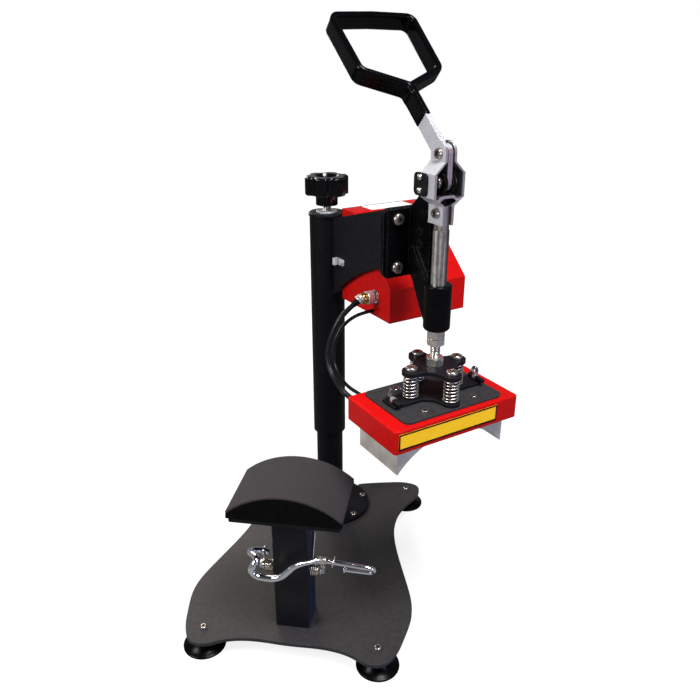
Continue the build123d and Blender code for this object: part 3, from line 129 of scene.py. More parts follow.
def new_finish(name, **shader_values):
    """A material with its constants set on the shader. Gives the material, tree, shader and position."""
    material = bpy.data.materials.new(name)
    material.use_nodes = True
    tree = material.node_tree
    shader = tree.nodes["Principled BSDF"]
    connect(shader, {socket.replace("_", " "): value for socket, value in shader_values.items()})
    where = add_node(tree, "ShaderNodeTexCoord").outputs["Object"]
    return material, tree, shader, where


def drifting(tree, where, size_mm, first, second, detail=4.0, start=0.3, end=0.7):
    """A colour that drifts between two hex colours, in clouds about size_mm across."""
    sockets = {"Vector": where, "Scale": 1 / (size_mm * MM), "Detail": detail}
    clouds = add_node(tree, "ShaderNodeTexNoise", sockets)
    share = add_node(tree, "ShaderNodeMapRange", {"Value": clouds, "From Min": start, "From Max": end})
    sockets = {"Factor": share, FIRST: linear(first), SECOND: linear(second)}
    return add_node(tree, "ShaderNodeMix", sockets, data_type="RGBA")


def edge_wear_and_highlight(tree, colour, bare_and_lit, radius_mm, most):
    """Lighter at sharp edges, where a rounded normal leaves the true one: wear, and a painted highlight."""
    rounded = add_node(tree, "ShaderNodeBevel", {"Radius": radius_mm * MM}, samples=4)
    face = add_node(tree, "ShaderNodeNewGeometry").outputs["Normal"]
    turn = add_node(tree, "ShaderNodeVectorMath", {0: rounded, 1: face}, operation="DOT_PRODUCT")
    sockets = {"Value": turn, "From Min": 0.75, "From Max": 0.97, "To Min": most, "To Max": 0}
    edge_share = add_node(tree, "ShaderNodeMapRange", sockets)
    sockets = {"Factor": edge_share, FIRST: colour, SECOND: linear(bare_and_lit)}
    return add_node(tree, "ShaderNodeMix", sockets, data_type="RGBA")


def painted_hollow_shade(tree, colour, shade_colour, reach_mm, start, end, **settings):
    """A colour that turns to a painted shade where a recess hides the surface from the open air."""
    # Painted shade: ambient occlusion mixes in a dark colour where other surfaces are near.
    sockets = {"Distance": reach_mm * MM}
    air = add_node(tree, "ShaderNodeAmbientOcclusion", sockets, **settings).outputs["AO"]
    unshaded = add_node(tree, "ShaderNodeMapRange", {"Value": air, "From Min": start, "From Max": end})
    sockets = {"Factor": unshaded, FIRST: linear(shade_colour), SECOND: colour}
    return add_node(tree, "ShaderNodeMix", sockets, data_type="RGBA")


def facing(tree, direction, start, end, either_way=False):
    """A share that rises from 0 to 1 as a face turns towards a direction."""
    normal = add_node(tree, "ShaderNodeTexCoord").outputs["Normal"]
    towards = add_node(tree, "ShaderNodeVectorMath", {0: normal, 1: direction}, operation="DOT_PRODUCT")
    if either_way:
        towards = add_node(tree, "ShaderNodeMath", {0: towards}, operation="ABSOLUTE")
    return add_node(tree, "ShaderNodeMapRange", {"Value": towards, "From Min": start, "From Max": end})


def relief(tree, shader, height, depth_mm, edge_mm=0.5):
    """Bump of a given depth over an edge that is rounded by edge_mm."""
    edge = add_node(tree, "ShaderNodeBevel", {"Radius": edge_mm * MM}, samples=4)
    sockets = {"Height": height, "Distance": depth_mm * MM, "Normal": edge}
    connect(shader, {"Normal": add_node(tree, "ShaderNodeBump", sockets)})


def dress(material, *names):
    """Gives engineering parts a finish."""
    for name in names:
        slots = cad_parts[name].data.materials
        slots.clear()
        slots.append(material)


print("shared features: 5")

# %% [markdown]
# ## Powder coat
# The arm, sleeve, clamp and plates are steel with baked polyester powder. It flows out with a faint
# orange peel, about a millimetre and a half from crest to crest, so highlights are wide and slightly
# broken. Handling polishes the sharpest edges, and a painted highlight lightens them further. The base
# plate has a rougher, greyer powder. The post's right face has a painted cold blue reflection in its colour.


# %% Powder coats
def powder_coat(name, dark, light, edge_colour, roughness, peel_mm, wear_and_highlight, shine=0.12):
    """Baked powder: fine mottling, orange peel, and edges lightened by wear and by a painted highlight."""
    material, tree, shader, where = new_finish(name, IOR=1.5, Specular_IOR_Level=shine)
    powder = drifting(tree, where, peel_mm * 6, dark, light)
    peel = add_node(tree, "ShaderNodeTexNoise", {"Vector": where, "Scale": 1 / (peel_mm * MM)})
    gloss = {"Value": peel, "To Min": roughness - 0.06, "To Max": roughness + 0.1}
    # Wear and painted highlight: the powder turns to edge_colour at sharp edges.
    colour = edge_wear_and_highlight(tree, powder, edge_colour, radius_mm=0.7, most=wear_and_highlight)
    connect(shader, {"Base Color": colour, "Roughness": add_node(tree, "ShaderNodeMapRange", gloss)})
    relief(tree, shader, peel, depth_mm=0.05, edge_mm=0.8)
    return material


# The edge colours below are partly wear and partly a painted highlight, strongest on the stamped frame.
BLACK_POWDER = powder_coat("powder_coat_satin_black", "#0F0F12", "#151519", "#55555B", 0.46, 1.5, 0.4)
PLATE_BLACK = powder_coat("powder_coat_satin_grey_black", "#2C2B2C", "#353435", "#6A6A70", 0.42, 1.4, 0.5)
DEEP_BLACK = powder_coat("powder_coat_deep_black", "#0A0A0D", "#0F0F13", "#4A4A50", 0.4, 1.5, 0.4, 0.08)
POST_BLACK = powder_coat("powder_coat_post_black", "#131316", "#18181C", "#4A4A50", 0.34, 1.5, 0.4, 0.16)
STAMPED_BLACK = powder_coat(
    "enamel_gloss_black_stamping", "#050506", "#08080A", "#6C6C74", 0.24, 2.2, 0.6, 0.08
)
CHARCOAL_POWDER = powder_coat(
    "powder_coat_matte_charcoal", "#2C2A2B", "#343233", "#65646C", 0.42, 1.1, 0.4, 0.2
)
dress(BLACK_POWDER, "arm_plate", "form_board", "box_cover", "upper_cross_plate", "lower_cross_plate")
dress(PLATE_BLACK, "head_top_plate")
dress(DEEP_BLACK, "column_sleeve", "sleeve_cap", "column_flange", "column_tube")
dress(STAMPED_BLACK, "frame_left", "frame_right", "end_plate", "guide_sleeve")
dress(CHARCOAL_POWDER, "base_plate")
dress(POST_BLACK, "post")
# Painted reflection: faces of the post turned to +x are mixed to a cold blue.
tree = POST_BLACK.node_tree
shader = tree.nodes["Principled BSDF"]
plain = shader.inputs["Base Color"].links[0].from_socket
sockets = {"Factor": facing(tree, (1, 0, 0), 0.6, 0.9), FIRST: plain, SECOND: linear("#20263C")}
connect(shader, {"Base Color": add_node(tree, "ShaderNodeMix", sockets, data_type="RGBA")})
print("powder coats: 6")

# %% [markdown]
# ## Red enamel
# The head cover and the control box are folded sheet, sprayed with a red gloss enamel and stoved. The
# pigment is even, with a soft clear shine on top. Long ripples, some four millimetres across, come from
# the spray gun.

# %% Red enamel
RED_ENAMEL, tree, shader, where = new_finish(
    "stoved_enamel_red", IOR=1.5, Specular_IOR_Level=0.08, Coat_Weight=0.08, Coat_Roughness=0.06, Coat_IOR=1.5
)
red = drifting(tree, where, 9, "#B40A09", "#C00D0B", detail=5.0)
ripple = add_node(tree, "ShaderNodeTexNoise", {"Vector": where, "Scale": 1 / (4 * MM)})
gloss = add_node(tree, "ShaderNodeMapRange", {"Value": ripple, "To Min": 0.32, "To Max": 0.44})
# Painted highlight: the red turns lighter along sharp edges.
red = edge_wear_and_highlight(tree, red, "#E8604E", radius_mm=0.9, most=0.3)
connect(shader, {"Base Color": red, "Roughness": gloss})
relief(tree, shader, ripple, depth_mm=0.05, edge_mm=2.2)
dress(RED_ENAMEL, "head_cover", "control_box")
print("red enamel on head_cover and control_box")

# %% [markdown]
# ## Plated and bare metals
# Bright zinc covers the links, bars, bolts and nuts. It is a thin passivated layer, so it is a little
# cloudy and carries a faint violet and straw tint. Chrome, on the rod and the plunger, is smoother and
# mirrors the room. Nickel on the plug is warmer. The bushes are sintered bronze. These are metals, so the
# colour sits in the reflection, and the roughness makes the difference between them.


# %% Plated metals
def plated(
    name, base, tint, metal, rough_low, rough_high, cloud_mm, mark_mm, depth_mm, edge_mm=0.4, pits=None
):
    """A plated metal: clouds in tint and roughness, fine marks, and, given a colour, painted shade in its
    recesses.
    """
    material, tree, shader, where = new_finish(name, Metallic=metal)
    colour = drifting(tree, where, cloud_mm, base, tint)
    # Painted shade: the colour darkens to the pits colour inside recesses of the part's own mesh.
    if pits:
        colour = painted_hollow_shade(tree, colour, pits, 1.8, 0.5, 0.92, samples=16, only_local=True)
    smear = add_node(tree, "ShaderNodeTexNoise", {"Vector": where, "Scale": 1 / (cloud_mm * 0.7 * MM)})
    gloss = {"Value": smear, "From Min": 0.25, "From Max": 0.75, "To Min": rough_low, "To Max": rough_high}
    connect(shader, {"Base Color": colour, "Roughness": add_node(tree, "ShaderNodeMapRange", gloss)})
    marks = add_node(tree, "ShaderNodeTexNoise", {"Vector": where, "Scale": 1 / (mark_mm * MM)})
    relief(tree, shader, marks, depth_mm, edge_mm)
    return material


ZINC = plated("bright_zinc_plate", "#CBCCD0", "#BFBDC5", 0.45, 0.4, 0.46, 14, 9.0, 0.0005, 0.2)
NUT_ZINC = plated("bright_zinc_nut", "#DAD5CE", "#C6BEB7", 0.9, 0.2, 0.3, 5, 2.5, 0.001, 0.4)
# Painted shade: the bolts and screws darken to near black inside their sockets and recesses.
BOLT_ZINC = plated("dull_zinc_bolt", "#B5ACA4", "#978D85", 0.9, 0.2, 0.3, 5, 2.5, 0.001, 0.4, "#080707")
CHROME = plated("polished_chrome", "#E0E3E8", "#EBEBEB", 1.0, 0.05, 0.1, 12, 5.0, 0.002)
# Painted shade: the torsion spring wire darkens between its coils.
SPRING_CHROME = plated(
    "chromed_spring_wire", "#EBE1D2", "#D9CDBB", 0.9, 0.14, 0.2, 8, 4.0, 0.001, 0.0, "#0A0A0C"
)
NICKEL = plated("nickel_plate", "#CFCAC2", "#DEDAD3", 0.6, 0.12, 0.22, 4, 2.0, 0.002, 0.4)
BRASS = plated("brass_plate", "#D2A868", "#B98A4C", 0.85, 0.14, 0.24, 4, 2.0, 0.002, 0.4)
BRONZE = plated("sintered_bronze", "#A9793F", "#8F6433", 0.9, 0.4, 0.55, 2, 0.5, 0.03)
dress(ZINC, "cap_washer", "cable_clip")
dress(BOLT_ZINC, "link_bolts", "handle_pivot_bolt", "clamp_bolts", "base_screws", "head_fasteners")
dress(NUT_ZINC, "lock_nuts", "tensioner_axle", "thrust_button")
dress(CHROME, "panel_socket")
dress(BRASS, "cable_glands")
dress(BRONZE, "sleeve_bushes")
print("plated metals: 8")

# %% [markdown]
# ## Sheared sheet and a ground shaft
# The link and the handle bars are sheared from plated sheet. Their cut edges lose the zinc in the shear,
# so they look darker and carry the violet of the passivation. The cut edges face along the arm, and the
# normal tells them apart. The plunger is a ground bar with long drawn streaks. One flank has a painted
# bright reflection and the other a painted dark, reddish reflection of the red cover.

# %% Link and plunger
LINK_ZINC, tree, shader, where = new_finish("sheared_zinc_sheet", Metallic=0.45)
cut_share = facing(tree, BACK, 0.7, 0.9, either_way=True)
sockets = {"Vector": where, "Scale": 1 / (1.5 * MM), "Detail": 3.0}
grain = add_node(tree, "ShaderNodeTexNoise", sockets)
sockets = {"Factor": grain, FIRST: linear("#75656A"), SECOND: linear("#A9989C")}
cut_colour = add_node(tree, "ShaderNodeMix", sockets, data_type="RGBA")
face_colour = drifting(tree, where, 12, "#CFD0D4", "#C5C5CC")
# Painted shade: the link's faces darken to near black where other parts lie within 40 mm, inside its bulge.
face_colour = painted_hollow_shade(tree, face_colour, "#1B1B20", 40, 0.3, 0.75, samples=12)
sockets = {"Factor": cut_share, FIRST: face_colour, SECOND: cut_colour}
sheet_colour = add_node(tree, "ShaderNodeMix", sockets, data_type="RGBA")
gloss = add_node(tree, "ShaderNodeMapRange", {"Value": cut_share, "To Min": 0.4, "To Max": 0.45})
connect(shader, {"Base Color": sheet_colour, "Roughness": gloss})
relief(tree, shader, grain, depth_mm=0.006, edge_mm=0.7)
dress(LINK_ZINC, "toggle_link", "handle_bars")

SHAFT_CHROME, tree, shader, where = new_finish("ground_steel_shaft", Metallic=0.8)
drawn = add_node(tree, "ShaderNodeMapping", {"Vector": where, "Scale": (1, 1, 0.02)})
sockets = {"Vector": drawn, "Scale": 1 / (3 * MM), "Detail": 3.0}
streaks = add_node(tree, "ShaderNodeTexNoise", sockets)
streaked = add_node(tree, "ShaderNodeMapRange", {"Value": streaks, "From Min": 0.42, "From Max": 0.6})
painted_bright_flank, painted_dark_flank = [
    add_node(
        tree,
        "ShaderNodeMix",
        {"Factor": streaked, FIRST: linear(low), SECOND: linear(high)},
        data_type="RGBA",
    )
    for low, high in (("#A59C98", "#E6E2DE"), ("#3A2C2C", "#6B5654"))
]
# Painted reflections: the flank facing against ACROSS gets the bright colours, the flank facing along it the
# dark reddish ones.
sockets = {"Factor": facing(tree, ACROSS, -0.35, 0.25), FIRST: painted_bright_flank, SECOND: painted_dark_flank}
steel = add_node(tree, "ShaderNodeMix", sockets, data_type="RGBA")
spots = add_node(tree, "ShaderNodeTexNoise", {"Vector": where, "Scale": 1 / (7 * MM), "Detail": 5.0})
sockets = {"Value": spots, "From Min": 0.46, "From Max": 0.66, "To Max": 0.5}
stains = add_node(tree, "ShaderNodeMapRange", sockets)
sockets = {"Factor": stains, FIRST: steel, SECOND: linear("#6A605C")}
steel = add_node(tree, "ShaderNodeMix", sockets, data_type="RGBA")
sockets = {"Value": streaks, "From Min": 0.3, "From Max": 0.7, "To Min": 0.2, "To Max": 0.36}
connect(shader, {"Base Color": steel, "Roughness": add_node(tree, "ShaderNodeMapRange", sockets)})
relief(tree, shader, streaks, depth_mm=0.004, edge_mm=0.5)
dress(SHAFT_CHROME, "plunger")
print("link, handle bars and plunger dressed")

# %% [markdown]
# ## Cast aluminium and painted rivets
# The platen is an aluminium casting with milled faces, whose cutter marks run across it, so the marks are
# stretched along the cut. The frame's rivets are painted over, apart from a few that were set later and
# stay bright. They lie between two heights.

# %% Aluminium and rivets
CUTTER_STRETCH, BRIGHT_FROM, BRIGHT_TO = 0.06, 0.564, 0.588
ALUMINIUM, tree, shader, where = new_finish("milled_aluminium_casting", Metallic=0.5)
sockets = {"Vector": where, "Rotation": (0, 0, -ARM_TURN), "Scale": (CUTTER_STRETCH, 1, 1)}
cutter = add_node(tree, "ShaderNodeMapping", sockets)
sockets = {"Vector": cutter, "Scale": 1 / (0.9 * MM), "Detail": 3.0}
marks = add_node(tree, "ShaderNodeTexNoise", sockets)
sockets = {"Vector": where, "Scale": 1 / (2.5 * MM), "Detail": 4.0}
pits = add_node(tree, "ShaderNodeTexNoise", sockets)
skin = drifting(tree, where, 22, "#E2DCD6", "#BEB6AF", start=0.35, end=0.75)
gloss = add_node(tree, "ShaderNodeMapRange", {"Value": marks, "To Min": 0.34, "To Max": 0.52})
connect(shader, {"Base Color": skin, "Roughness": gloss})
both = add_node(tree, "ShaderNodeMath", {0: marks, 1: pits}, operation="ADD")
relief(tree, shader, both, depth_mm=0.03, edge_mm=0.6)
dress(ALUMINIUM, "heating_element")

RIVET_BLACK, tree, shader, where = new_finish(
    "painted_and_bright_rivets", IOR=1.5, Specular_IOR_Level=0.2
)
height = add_node(tree, "ShaderNodeSeparateXYZ", {0: where}).outputs["Z"]
above = add_node(tree, "ShaderNodeMath", {0: height, 1: BRIGHT_FROM}, operation="GREATER_THAN")
below = add_node(tree, "ShaderNodeMath", {0: height, 1: BRIGHT_TO}, operation="LESS_THAN")
bright = add_node(tree, "ShaderNodeMath", {0: above, 1: below}, operation="MULTIPLY")
# The black paint turns lighter at the rivets' sharp edges: wear, and a painted highlight.
painted = edge_wear_and_highlight(tree, linear("#070708"), "#6D6D70", radius_mm=0.6, most=0.9)
sockets = {"Factor": bright, FIRST: painted, SECOND: linear("#CFC9C2")}
colour = add_node(tree, "ShaderNodeMix", sockets, data_type="RGBA")
brushed = add_node(tree, "ShaderNodeTexNoise", {"Vector": where, "Scale": 1 / (1.2 * MM)})
gloss = add_node(tree, "ShaderNodeMapRange", {"Value": brushed, "To Min": 0.2, "To Max": 0.34})
connect(shader, {"Base Color": colour, "Metallic": bright, "Roughness": gloss})
relief(tree, shader, brushed, depth_mm=0.03)
dress(RIVET_BLACK, "frame_rivets")
print("heating element and rivets dressed")

# %% [markdown]
# ## Rubber, foam, vinyl and plastics
# Rubber and foam scatter light from a rough skin, so they look dull. Dipped vinyl and bakelite have a
# smooth skin over a black body, so they take sharp highlights. Vinyl runs a little before it sets, which
# leaves shallow waves about a centimetre long.


# %% Soft and moulded finishes
def moulded(name, dark, light, rough_low, rough_high, grain_mm, depth_mm, shine=0.3, edge_mm=0.5):
    """A moulded or dipped skin: slight colour drift, and one grain for gloss and relief."""
    material, tree, shader, where = new_finish(name, IOR=1.5, Specular_IOR_Level=shine)
    sockets = {"Vector": where, "Scale": 1 / (grain_mm * MM), "Detail": 3.0}
    grain = add_node(tree, "ShaderNodeTexNoise", sockets)
    gloss = {"Value": grain, "From Min": 0.25, "From Max": 0.75, "To Min": rough_low, "To Max": rough_high}
    colour = drifting(tree, where, grain_mm * 4, dark, light)
    connect(shader, {"Base Color": colour, "Roughness": add_node(tree, "ShaderNodeMapRange", gloss)})
    relief(tree, shader, grain, depth_mm, edge_mm)
    return material


RUBBER = moulded("moulded_rubber_black", "#040405", "#070708", 0.22, 0.3, 4, 0.01, 0.08)
CABLE_JACKET = moulded("pvc_cable_jacket_black", "#0B0B0D", "#131317", 0.26, 0.38, 2.0, 0.03, 0.22)
VINYL = moulded("dipped_vinyl_black", "#030304", "#060608", 0.12, 0.2, 14, 0.05, 0.11)
BAKELITE = moulded("bakelite_black", "#040405", "#08080A", 0.1, 0.18, 5, 0.03, 0.5, 1.0)
ABS = moulded("abs_textured_black", "#0E0E0F", "#161617", 0.45, 0.6, 0.9, 0.04, 0.2)
FORM_BLACK = moulded("painted_form_black", "#040404", "#080808", 0.55, 0.7, 2.4, 0.06, 0.05)
CERAMIC_FIBRE = moulded("ceramic_fibre_board", "#D8D2C4", "#E6E1D6", 0.85, 0.95, 1.6, 0.3)
GLASS_FIBRE = moulded("glass_fibre_board_green", "#0F4A25", "#175C30", 0.3, 0.45, 1.5, 0.03)
PANEL_FILM = moulded("polyester_film_silver", "#B9BDC2", "#C6C9CD", 0.3, 0.4, 1.2, 0.02)
SMOKED_WINDOW = moulded("smoked_acrylic_red", "#1C0406", "#260608", 0.05, 0.1, 14, 0.02)
LABEL_YELLOW = moulded("vinyl_label_yellow", "#FFC21C", "#FFCB2C", 0.3, 0.42, 3, 0.02, 0.1)
LABEL_BLACK = moulded("label_ink_black", "#0A0A0A", "#121212", 0.3, 0.4, 3, 0.01, 0.1)
LABEL_WHITE = moulded("paper_label_white", "#F0EEEC", "#F6F5F4", 0.4, 0.5, 3, 0.02, 0.1)
dress(ABS, "mains_inlet", "power_rocker", "button_down", "button_set", "button_up")
dress(BAKELITE, "star_knob")
dress(FORM_BLACK, "form_block")
dress(CERAMIC_FIBRE, "insulation_board")
dress(GLASS_FIBRE, "circuit_board")
dress(PANEL_FILM, "panel_plate")
dress(SMOKED_WINDOW, "display_window")
dress(LABEL_YELLOW, "label_plate")
print("moulded finishes: 13")

# %% Silicone sponge
CELL_MM = 1.6
FOAM, tree, shader, where = new_finish(
    "silicone_sponge_grey_black", IOR=1.42, Specular_IOR_Level=0.1, Sheen_Weight=0.04
)
pore = add_node(tree, "ShaderNodeTexVoronoi", {"Vector": where, "Scale": 1 / (CELL_MM * MM)})
cell = add_node(tree, "ShaderNodeMapRange", {"Value": pore, "From Min": 0.05, "From Max": 0.5})
sockets = {"Factor": cell, FIRST: linear("#282425"), SECOND: linear("#343031")}
sponge = add_node(tree, "ShaderNodeMix", sockets, data_type="RGBA")
dull = add_node(tree, "ShaderNodeMapRange", {"Value": cell, "To Min": 0.95, "To Max": 0.8})
connect(shader, {"Base Color": sponge, "Roughness": dull})
relief(tree, shader, cell, depth_mm=0.12, edge_mm=0.8)
print("sponge cells of", CELL_MM, "mm")

# %% [markdown]
# ## Camera, lamps and floor
# The camera looks down on the press from the operator's side, a little to the right. Four soft lamps light
# it: a broad one above, one from the front left, a weak cold one from the right and a low one behind. The
# backdrop is white to the camera and through glass, mirrors see a dimmer wall that fades upwards, and the
# world's own light on the object stays moderate.

# %% Camera
CAMERA_PLACE = Vector((0.1816, -0.9553, 0.7173))
CAMERA_HEADING = math.radians(8.9)
CAMERA_PITCH = math.radians(23.29)
camera_data = bpy.data.cameras.new("studio_camera")
camera_data.sensor_width = 36
camera_data.lens = 36.56
camera_data.clip_end = 20
camera = bpy.data.objects.new("studio_camera", camera_data)
camera.location = CAMERA_PLACE
camera.rotation_euler = (math.pi / 2 - CAMERA_PITCH, 0, CAMERA_HEADING)
bpy.context.scene.collection.objects.link(camera)
bpy.context.scene.camera = camera
bpy.context.scene.view_settings.view_transform = "Standard"
print("camera lens", camera_data.lens, "mm")


# %% Lamps
def soft_lamp(name, place, target, size, watts, colour="#FFFFFF"):
    """A square soft box that faces a target."""
    lamp_data = bpy.data.lights.new(name, "AREA")
    lamp_data.size = size
    lamp_data.energy = watts
    lamp_data.color = linear(colour)[:3]
    lamp = bpy.data.objects.new(name, lamp_data)
    lamp.location = place
    lamp.rotation_euler = (Vector(target) - Vector(place)).to_track_quat("-Z", "Y").to_euler()
    bpy.context.scene.collection.objects.link(lamp)


soft_lamp("lamp_above", (0.55, -0.7, 1.9), (0.15, -0.25, 0.35), 0.6, 42)
soft_lamp("lamp_left", (-0.85, -0.85, 0.9), (0.15, -0.25, 0.35), 0.45, 13)
soft_lamp("lamp_right", (1.25, -0.9, 0.65), (0.15, -0.25, 0.3), 0.5, 6, "#B8C8FF")
soft_lamp("lamp_behind", (-0.75, 0.95, 0.8), (-0.1, -0.2, 0.05), 0.8, 9, "#FFF4EA")
print("lamps: 4")


# %% World
def plainly_seen(tree):
    """1 for a ray from the camera or through glass, and 0 for every other ray."""
    ray = add_node(tree, "ShaderNodeLightPath").outputs
    sockets = {0: ray["Is Camera Ray"], 1: ray["Is Transmission Ray"]}
    return add_node(tree, "ShaderNodeMath", sockets, operation="MAXIMUM")


world = bpy.data.worlds.new("studio")
bpy.context.scene.world = world
world.use_nodes = True
sky = world.node_tree
sky.nodes.clear()
direction = add_node(sky, "ShaderNodeTexCoord").outputs["Generated"]
height = add_node(sky, "ShaderNodeSeparateXYZ", {0: direction}).outputs["Z"]
sockets = {"Value": height, "From Min": 0.05, "From Max": 0.6, "To Min": 0.32, "To Max": 0.06}
wall = add_node(sky, "ShaderNodeMapRange", sockets)
room_light, mirror_light, backdrop = [
    add_node(sky, "ShaderNodeBackground", {"Color": linear(colour), "Strength": strength})
    for colour, strength in (("#FFFFFF", 0.12), ("#F4F6FF", wall), ("#FFFFFF", 1.0))
]
mirrored = add_node(sky, "ShaderNodeLightPath").outputs["Is Glossy Ray"]
unseen = add_node(sky, "ShaderNodeMixShader", {0: mirrored, 1: room_light, 2: mirror_light})
mixed = add_node(sky, "ShaderNodeMixShader", {0: plainly_seen(sky), 1: unseen, 2: backdrop})
add_node(sky, "ShaderNodeOutputWorld", {"Surface": mixed})
print("world: room light, mirror light and backdrop")

# %% Floor
FLOOR, tree, shader, where = new_finish("studio_floor_white", Roughness=0.9, Specular_IOR_Level=0.1)
dust = drifting(tree, where, 60, "#7A7A7A", "#808080", detail=3.0, start=0, end=1)
away = add_node(tree, "ShaderNodeVectorMath", {0: where}, operation="LENGTH")
sockets = {"Value": away, "From Min": 0.4, "From Max": 1.3, "To Min": 0.84, "To Max": 1.0}
glow = add_node(tree, "ShaderNodeMapRange", sockets)
seen_glow = add_node(tree, "ShaderNodeMath", {0: glow, 1: plainly_seen(tree)}, operation="MULTIPLY")
connect(shader, {"Base Color": dust, "Emission Color": linear("#FFFFFF"), "Emission Strength": seen_glow})

floor_mesh = bmesh.new()
bmesh.ops.create_grid(floor_mesh, x_segments=1, y_segments=1, size=6)
floor_data = bpy.data.meshes.new("studio_floor")
floor_mesh.to_mesh(floor_data)
floor_mesh.free()
floor_data.materials.append(FLOOR)
floor = bpy.data.objects.new("studio_floor", floor_data)
bpy.context.scene.collection.objects.link(floor)
print("floor 12 m wide")

# %% [markdown]
# ## The two cables
# A heater cable runs from the plug on the control box down to the rear of the head. A thinner sensor
# cable leaves the box through its side and goes the same way. Both are as long as the head's stroke and
# the drape need, and both are clamped at each end, so their weight shows in the long bow beside the
# column. Each is one smooth curve through a few control points, turned to a mesh.


# %% Placing helper
def place_piece(name, data, material, body=None, stands_for=None, smooth=True):
    """Puts a mesh in the scene with its finish, its body and the part that it stands for."""
    data.materials.clear()
    data.materials.append(material)
    data.polygons.foreach_set("use_smooth", [smooth] * len(data.polygons))
    piece = bpy.data.objects.new(name, data)
    bpy.context.scene.collection.objects.link(piece)
    if body:
        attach(piece, body)
    if stands_for:
        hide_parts(stands_for)
    return piece


def as_mesh(curve):
    """The mesh that Blender makes of a curve."""
    return bpy.data.meshes.new_from_object(curve.evaluated_get(bpy.context.evaluated_depsgraph_get()))


def cable(name, points, diameter_mm, stands_for):
    """A smooth cable. Its points are control points in the arm's own millimetres."""
    data = bpy.data.curves.new(name, "CURVE")
    data.dimensions = "3D"
    line = data.splines.new("NURBS")
    line.points.add(len(points) - 1)
    for point, place in zip(line.points, points):
        point.co = (*arm_point(*place), 1)
    line.order_u = 3
    line.use_endpoint_u = True
    line.resolution_u = 12
    route = bpy.data.objects.new("cable_route", data)
    bpy.context.scene.collection.objects.link(route)
    path = [vertex.co.copy() for vertex in as_mesh(route).vertices]
    data.bevel_depth = diameter_mm / 2 * MM
    data.bevel_resolution = 6
    data.use_fill_caps = True
    tube = as_mesh(route)
    bpy.data.objects.remove(route)
    piece = place_piece(name, tube, CABLE_JACKET, stands_for=stands_for)
    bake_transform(piece)


HEAD_CABLE_POINTS = (
    (-30, -119, 412),
    (-41.25, -118.375, 404.5),
    (-51.5, -116, 391.5),
    (-59.5, -114, 374),
    (-64.5, -113.5, 355),
    (-67, -118, 338.5),
    (-67.5, -130, 326),
    (-67.5, -146.5, 319.5),
    (-70, -162, 317.2),
    (-72, -177, 318),
    (-72, -191, 318),
)
SENSOR_CABLE_POINTS = (
    (5.5, -113, 396),
    (-11, -113, 396),
    (-27, -111, 391.5),
    (-40, -109, 382),
    (-49, -107.5, 367.5),
    (-54, -108, 351),
    (-56.5, -114, 335.5),
    (-57.5, -127, 324),
    (-57.8, -143, 318.5),
    (-57.6, -160, 317),
    (-57, -176, 318),
    (-57, -191, 318),
)
print("control points:", len(HEAD_CABLE_POINTS), "and", len(SENSOR_CABLE_POINTS))

# %% [markdown]
# ## Turned pieces
# Many pieces are turned on a lathe or moulded round, so one function spins an outline about an axis. A
# ripple may follow the angle: that gives the knurl of the plug, cut straight along its ring.


# %% Lathe and joining helpers
def make_piece(name, mesh, material, body, stands_for=None, crisp=None, smooth=True):
    """A piece from vertices and faces. Edges turned by more than the crisp angle, in degrees, stay sharp."""
    vertices, faces = mesh
    data = bpy.data.meshes.new(name)
    data.from_pydata(vertices, [], faces)
    data.validate()
    shape = bmesh.new()
    shape.from_mesh(data)
    bmesh.ops.recalc_face_normals(shape, faces=shape.faces)
    for edge in shape.edges:
        if crisp and len(edge.link_faces) == 2:
            edge.smooth = edge.calc_face_angle(0) < math.radians(crisp)
    shape.to_mesh(data)
    shape.free()
    return place_piece(name, data, material, body, stands_for, smooth)


def spun(outline, centre, axis, steps=64, ripple=None):
    """Vertices and faces of an outline of (radius, height) in millimetres, spun about an axis."""
    axis = Vector(axis).normalized()
    first = axis.orthogonal().normalized()
    second = axis.cross(first)
    vertices, faces = [], []
    for radius, height in outline:
        for i in range(steps):
            angle = 2 * math.pi * i / steps
            r = radius * (1 + (ripple(angle, height) if ripple else 0))
            side = first * math.cos(angle) + second * math.sin(angle)
            vertices.append(centre + (side * r + axis * height) * MM)
    for row in range(len(outline) - 1):
        for i in range(steps):
            j = (i + 1) % steps
            faces.append((row * steps + i, row * steps + j, (row + 1) * steps + j, (row + 1) * steps + i))
    faces.append(tuple(range(steps)))
    faces.append(tuple((len(outline) - 1) * steps + i for i in range(steps)))
    return vertices, faces


def joined(parts):
    """Several lots of vertices and faces as one."""
    vertices, faces = [], []
    for more_vertices, more_faces in parts:
        faces += [tuple(i + len(vertices) for i in face) for face in more_faces]
        vertices += more_vertices
    return vertices, faces


print("faces of a disc in 8 steps:", len(spun([(1, 0), (1, 1)], Vector((0, 0, 0)), UP, 8)[1]))

# %% [markdown]
# ## Plug and strain relief
# The plug is an aviation plug: a knurled nickel ring, a plain back shell with a brass tint, a nickel
# collar, and a rubber boot with grooves that let it bend. The ring is spun with a ripple of 36 flutes,
# coarse enough to show. The cables start at the boot, so they are made here too.

# %% Plug
FLUTES, FLUTED_FROM, FLUTED_TO, FLUTE_DEPTH = 36, 1.6, 7.4, 0.045


def knurl(angle, height):
    """Flutes on the middle of the ring, as a share of its radius. Both rims stay plain."""
    if not FLUTED_FROM < height < FLUTED_TO:
        return 0
    return -FLUTE_DEPTH * (0.5 - 0.5 * math.cos(angle * FLUTES))


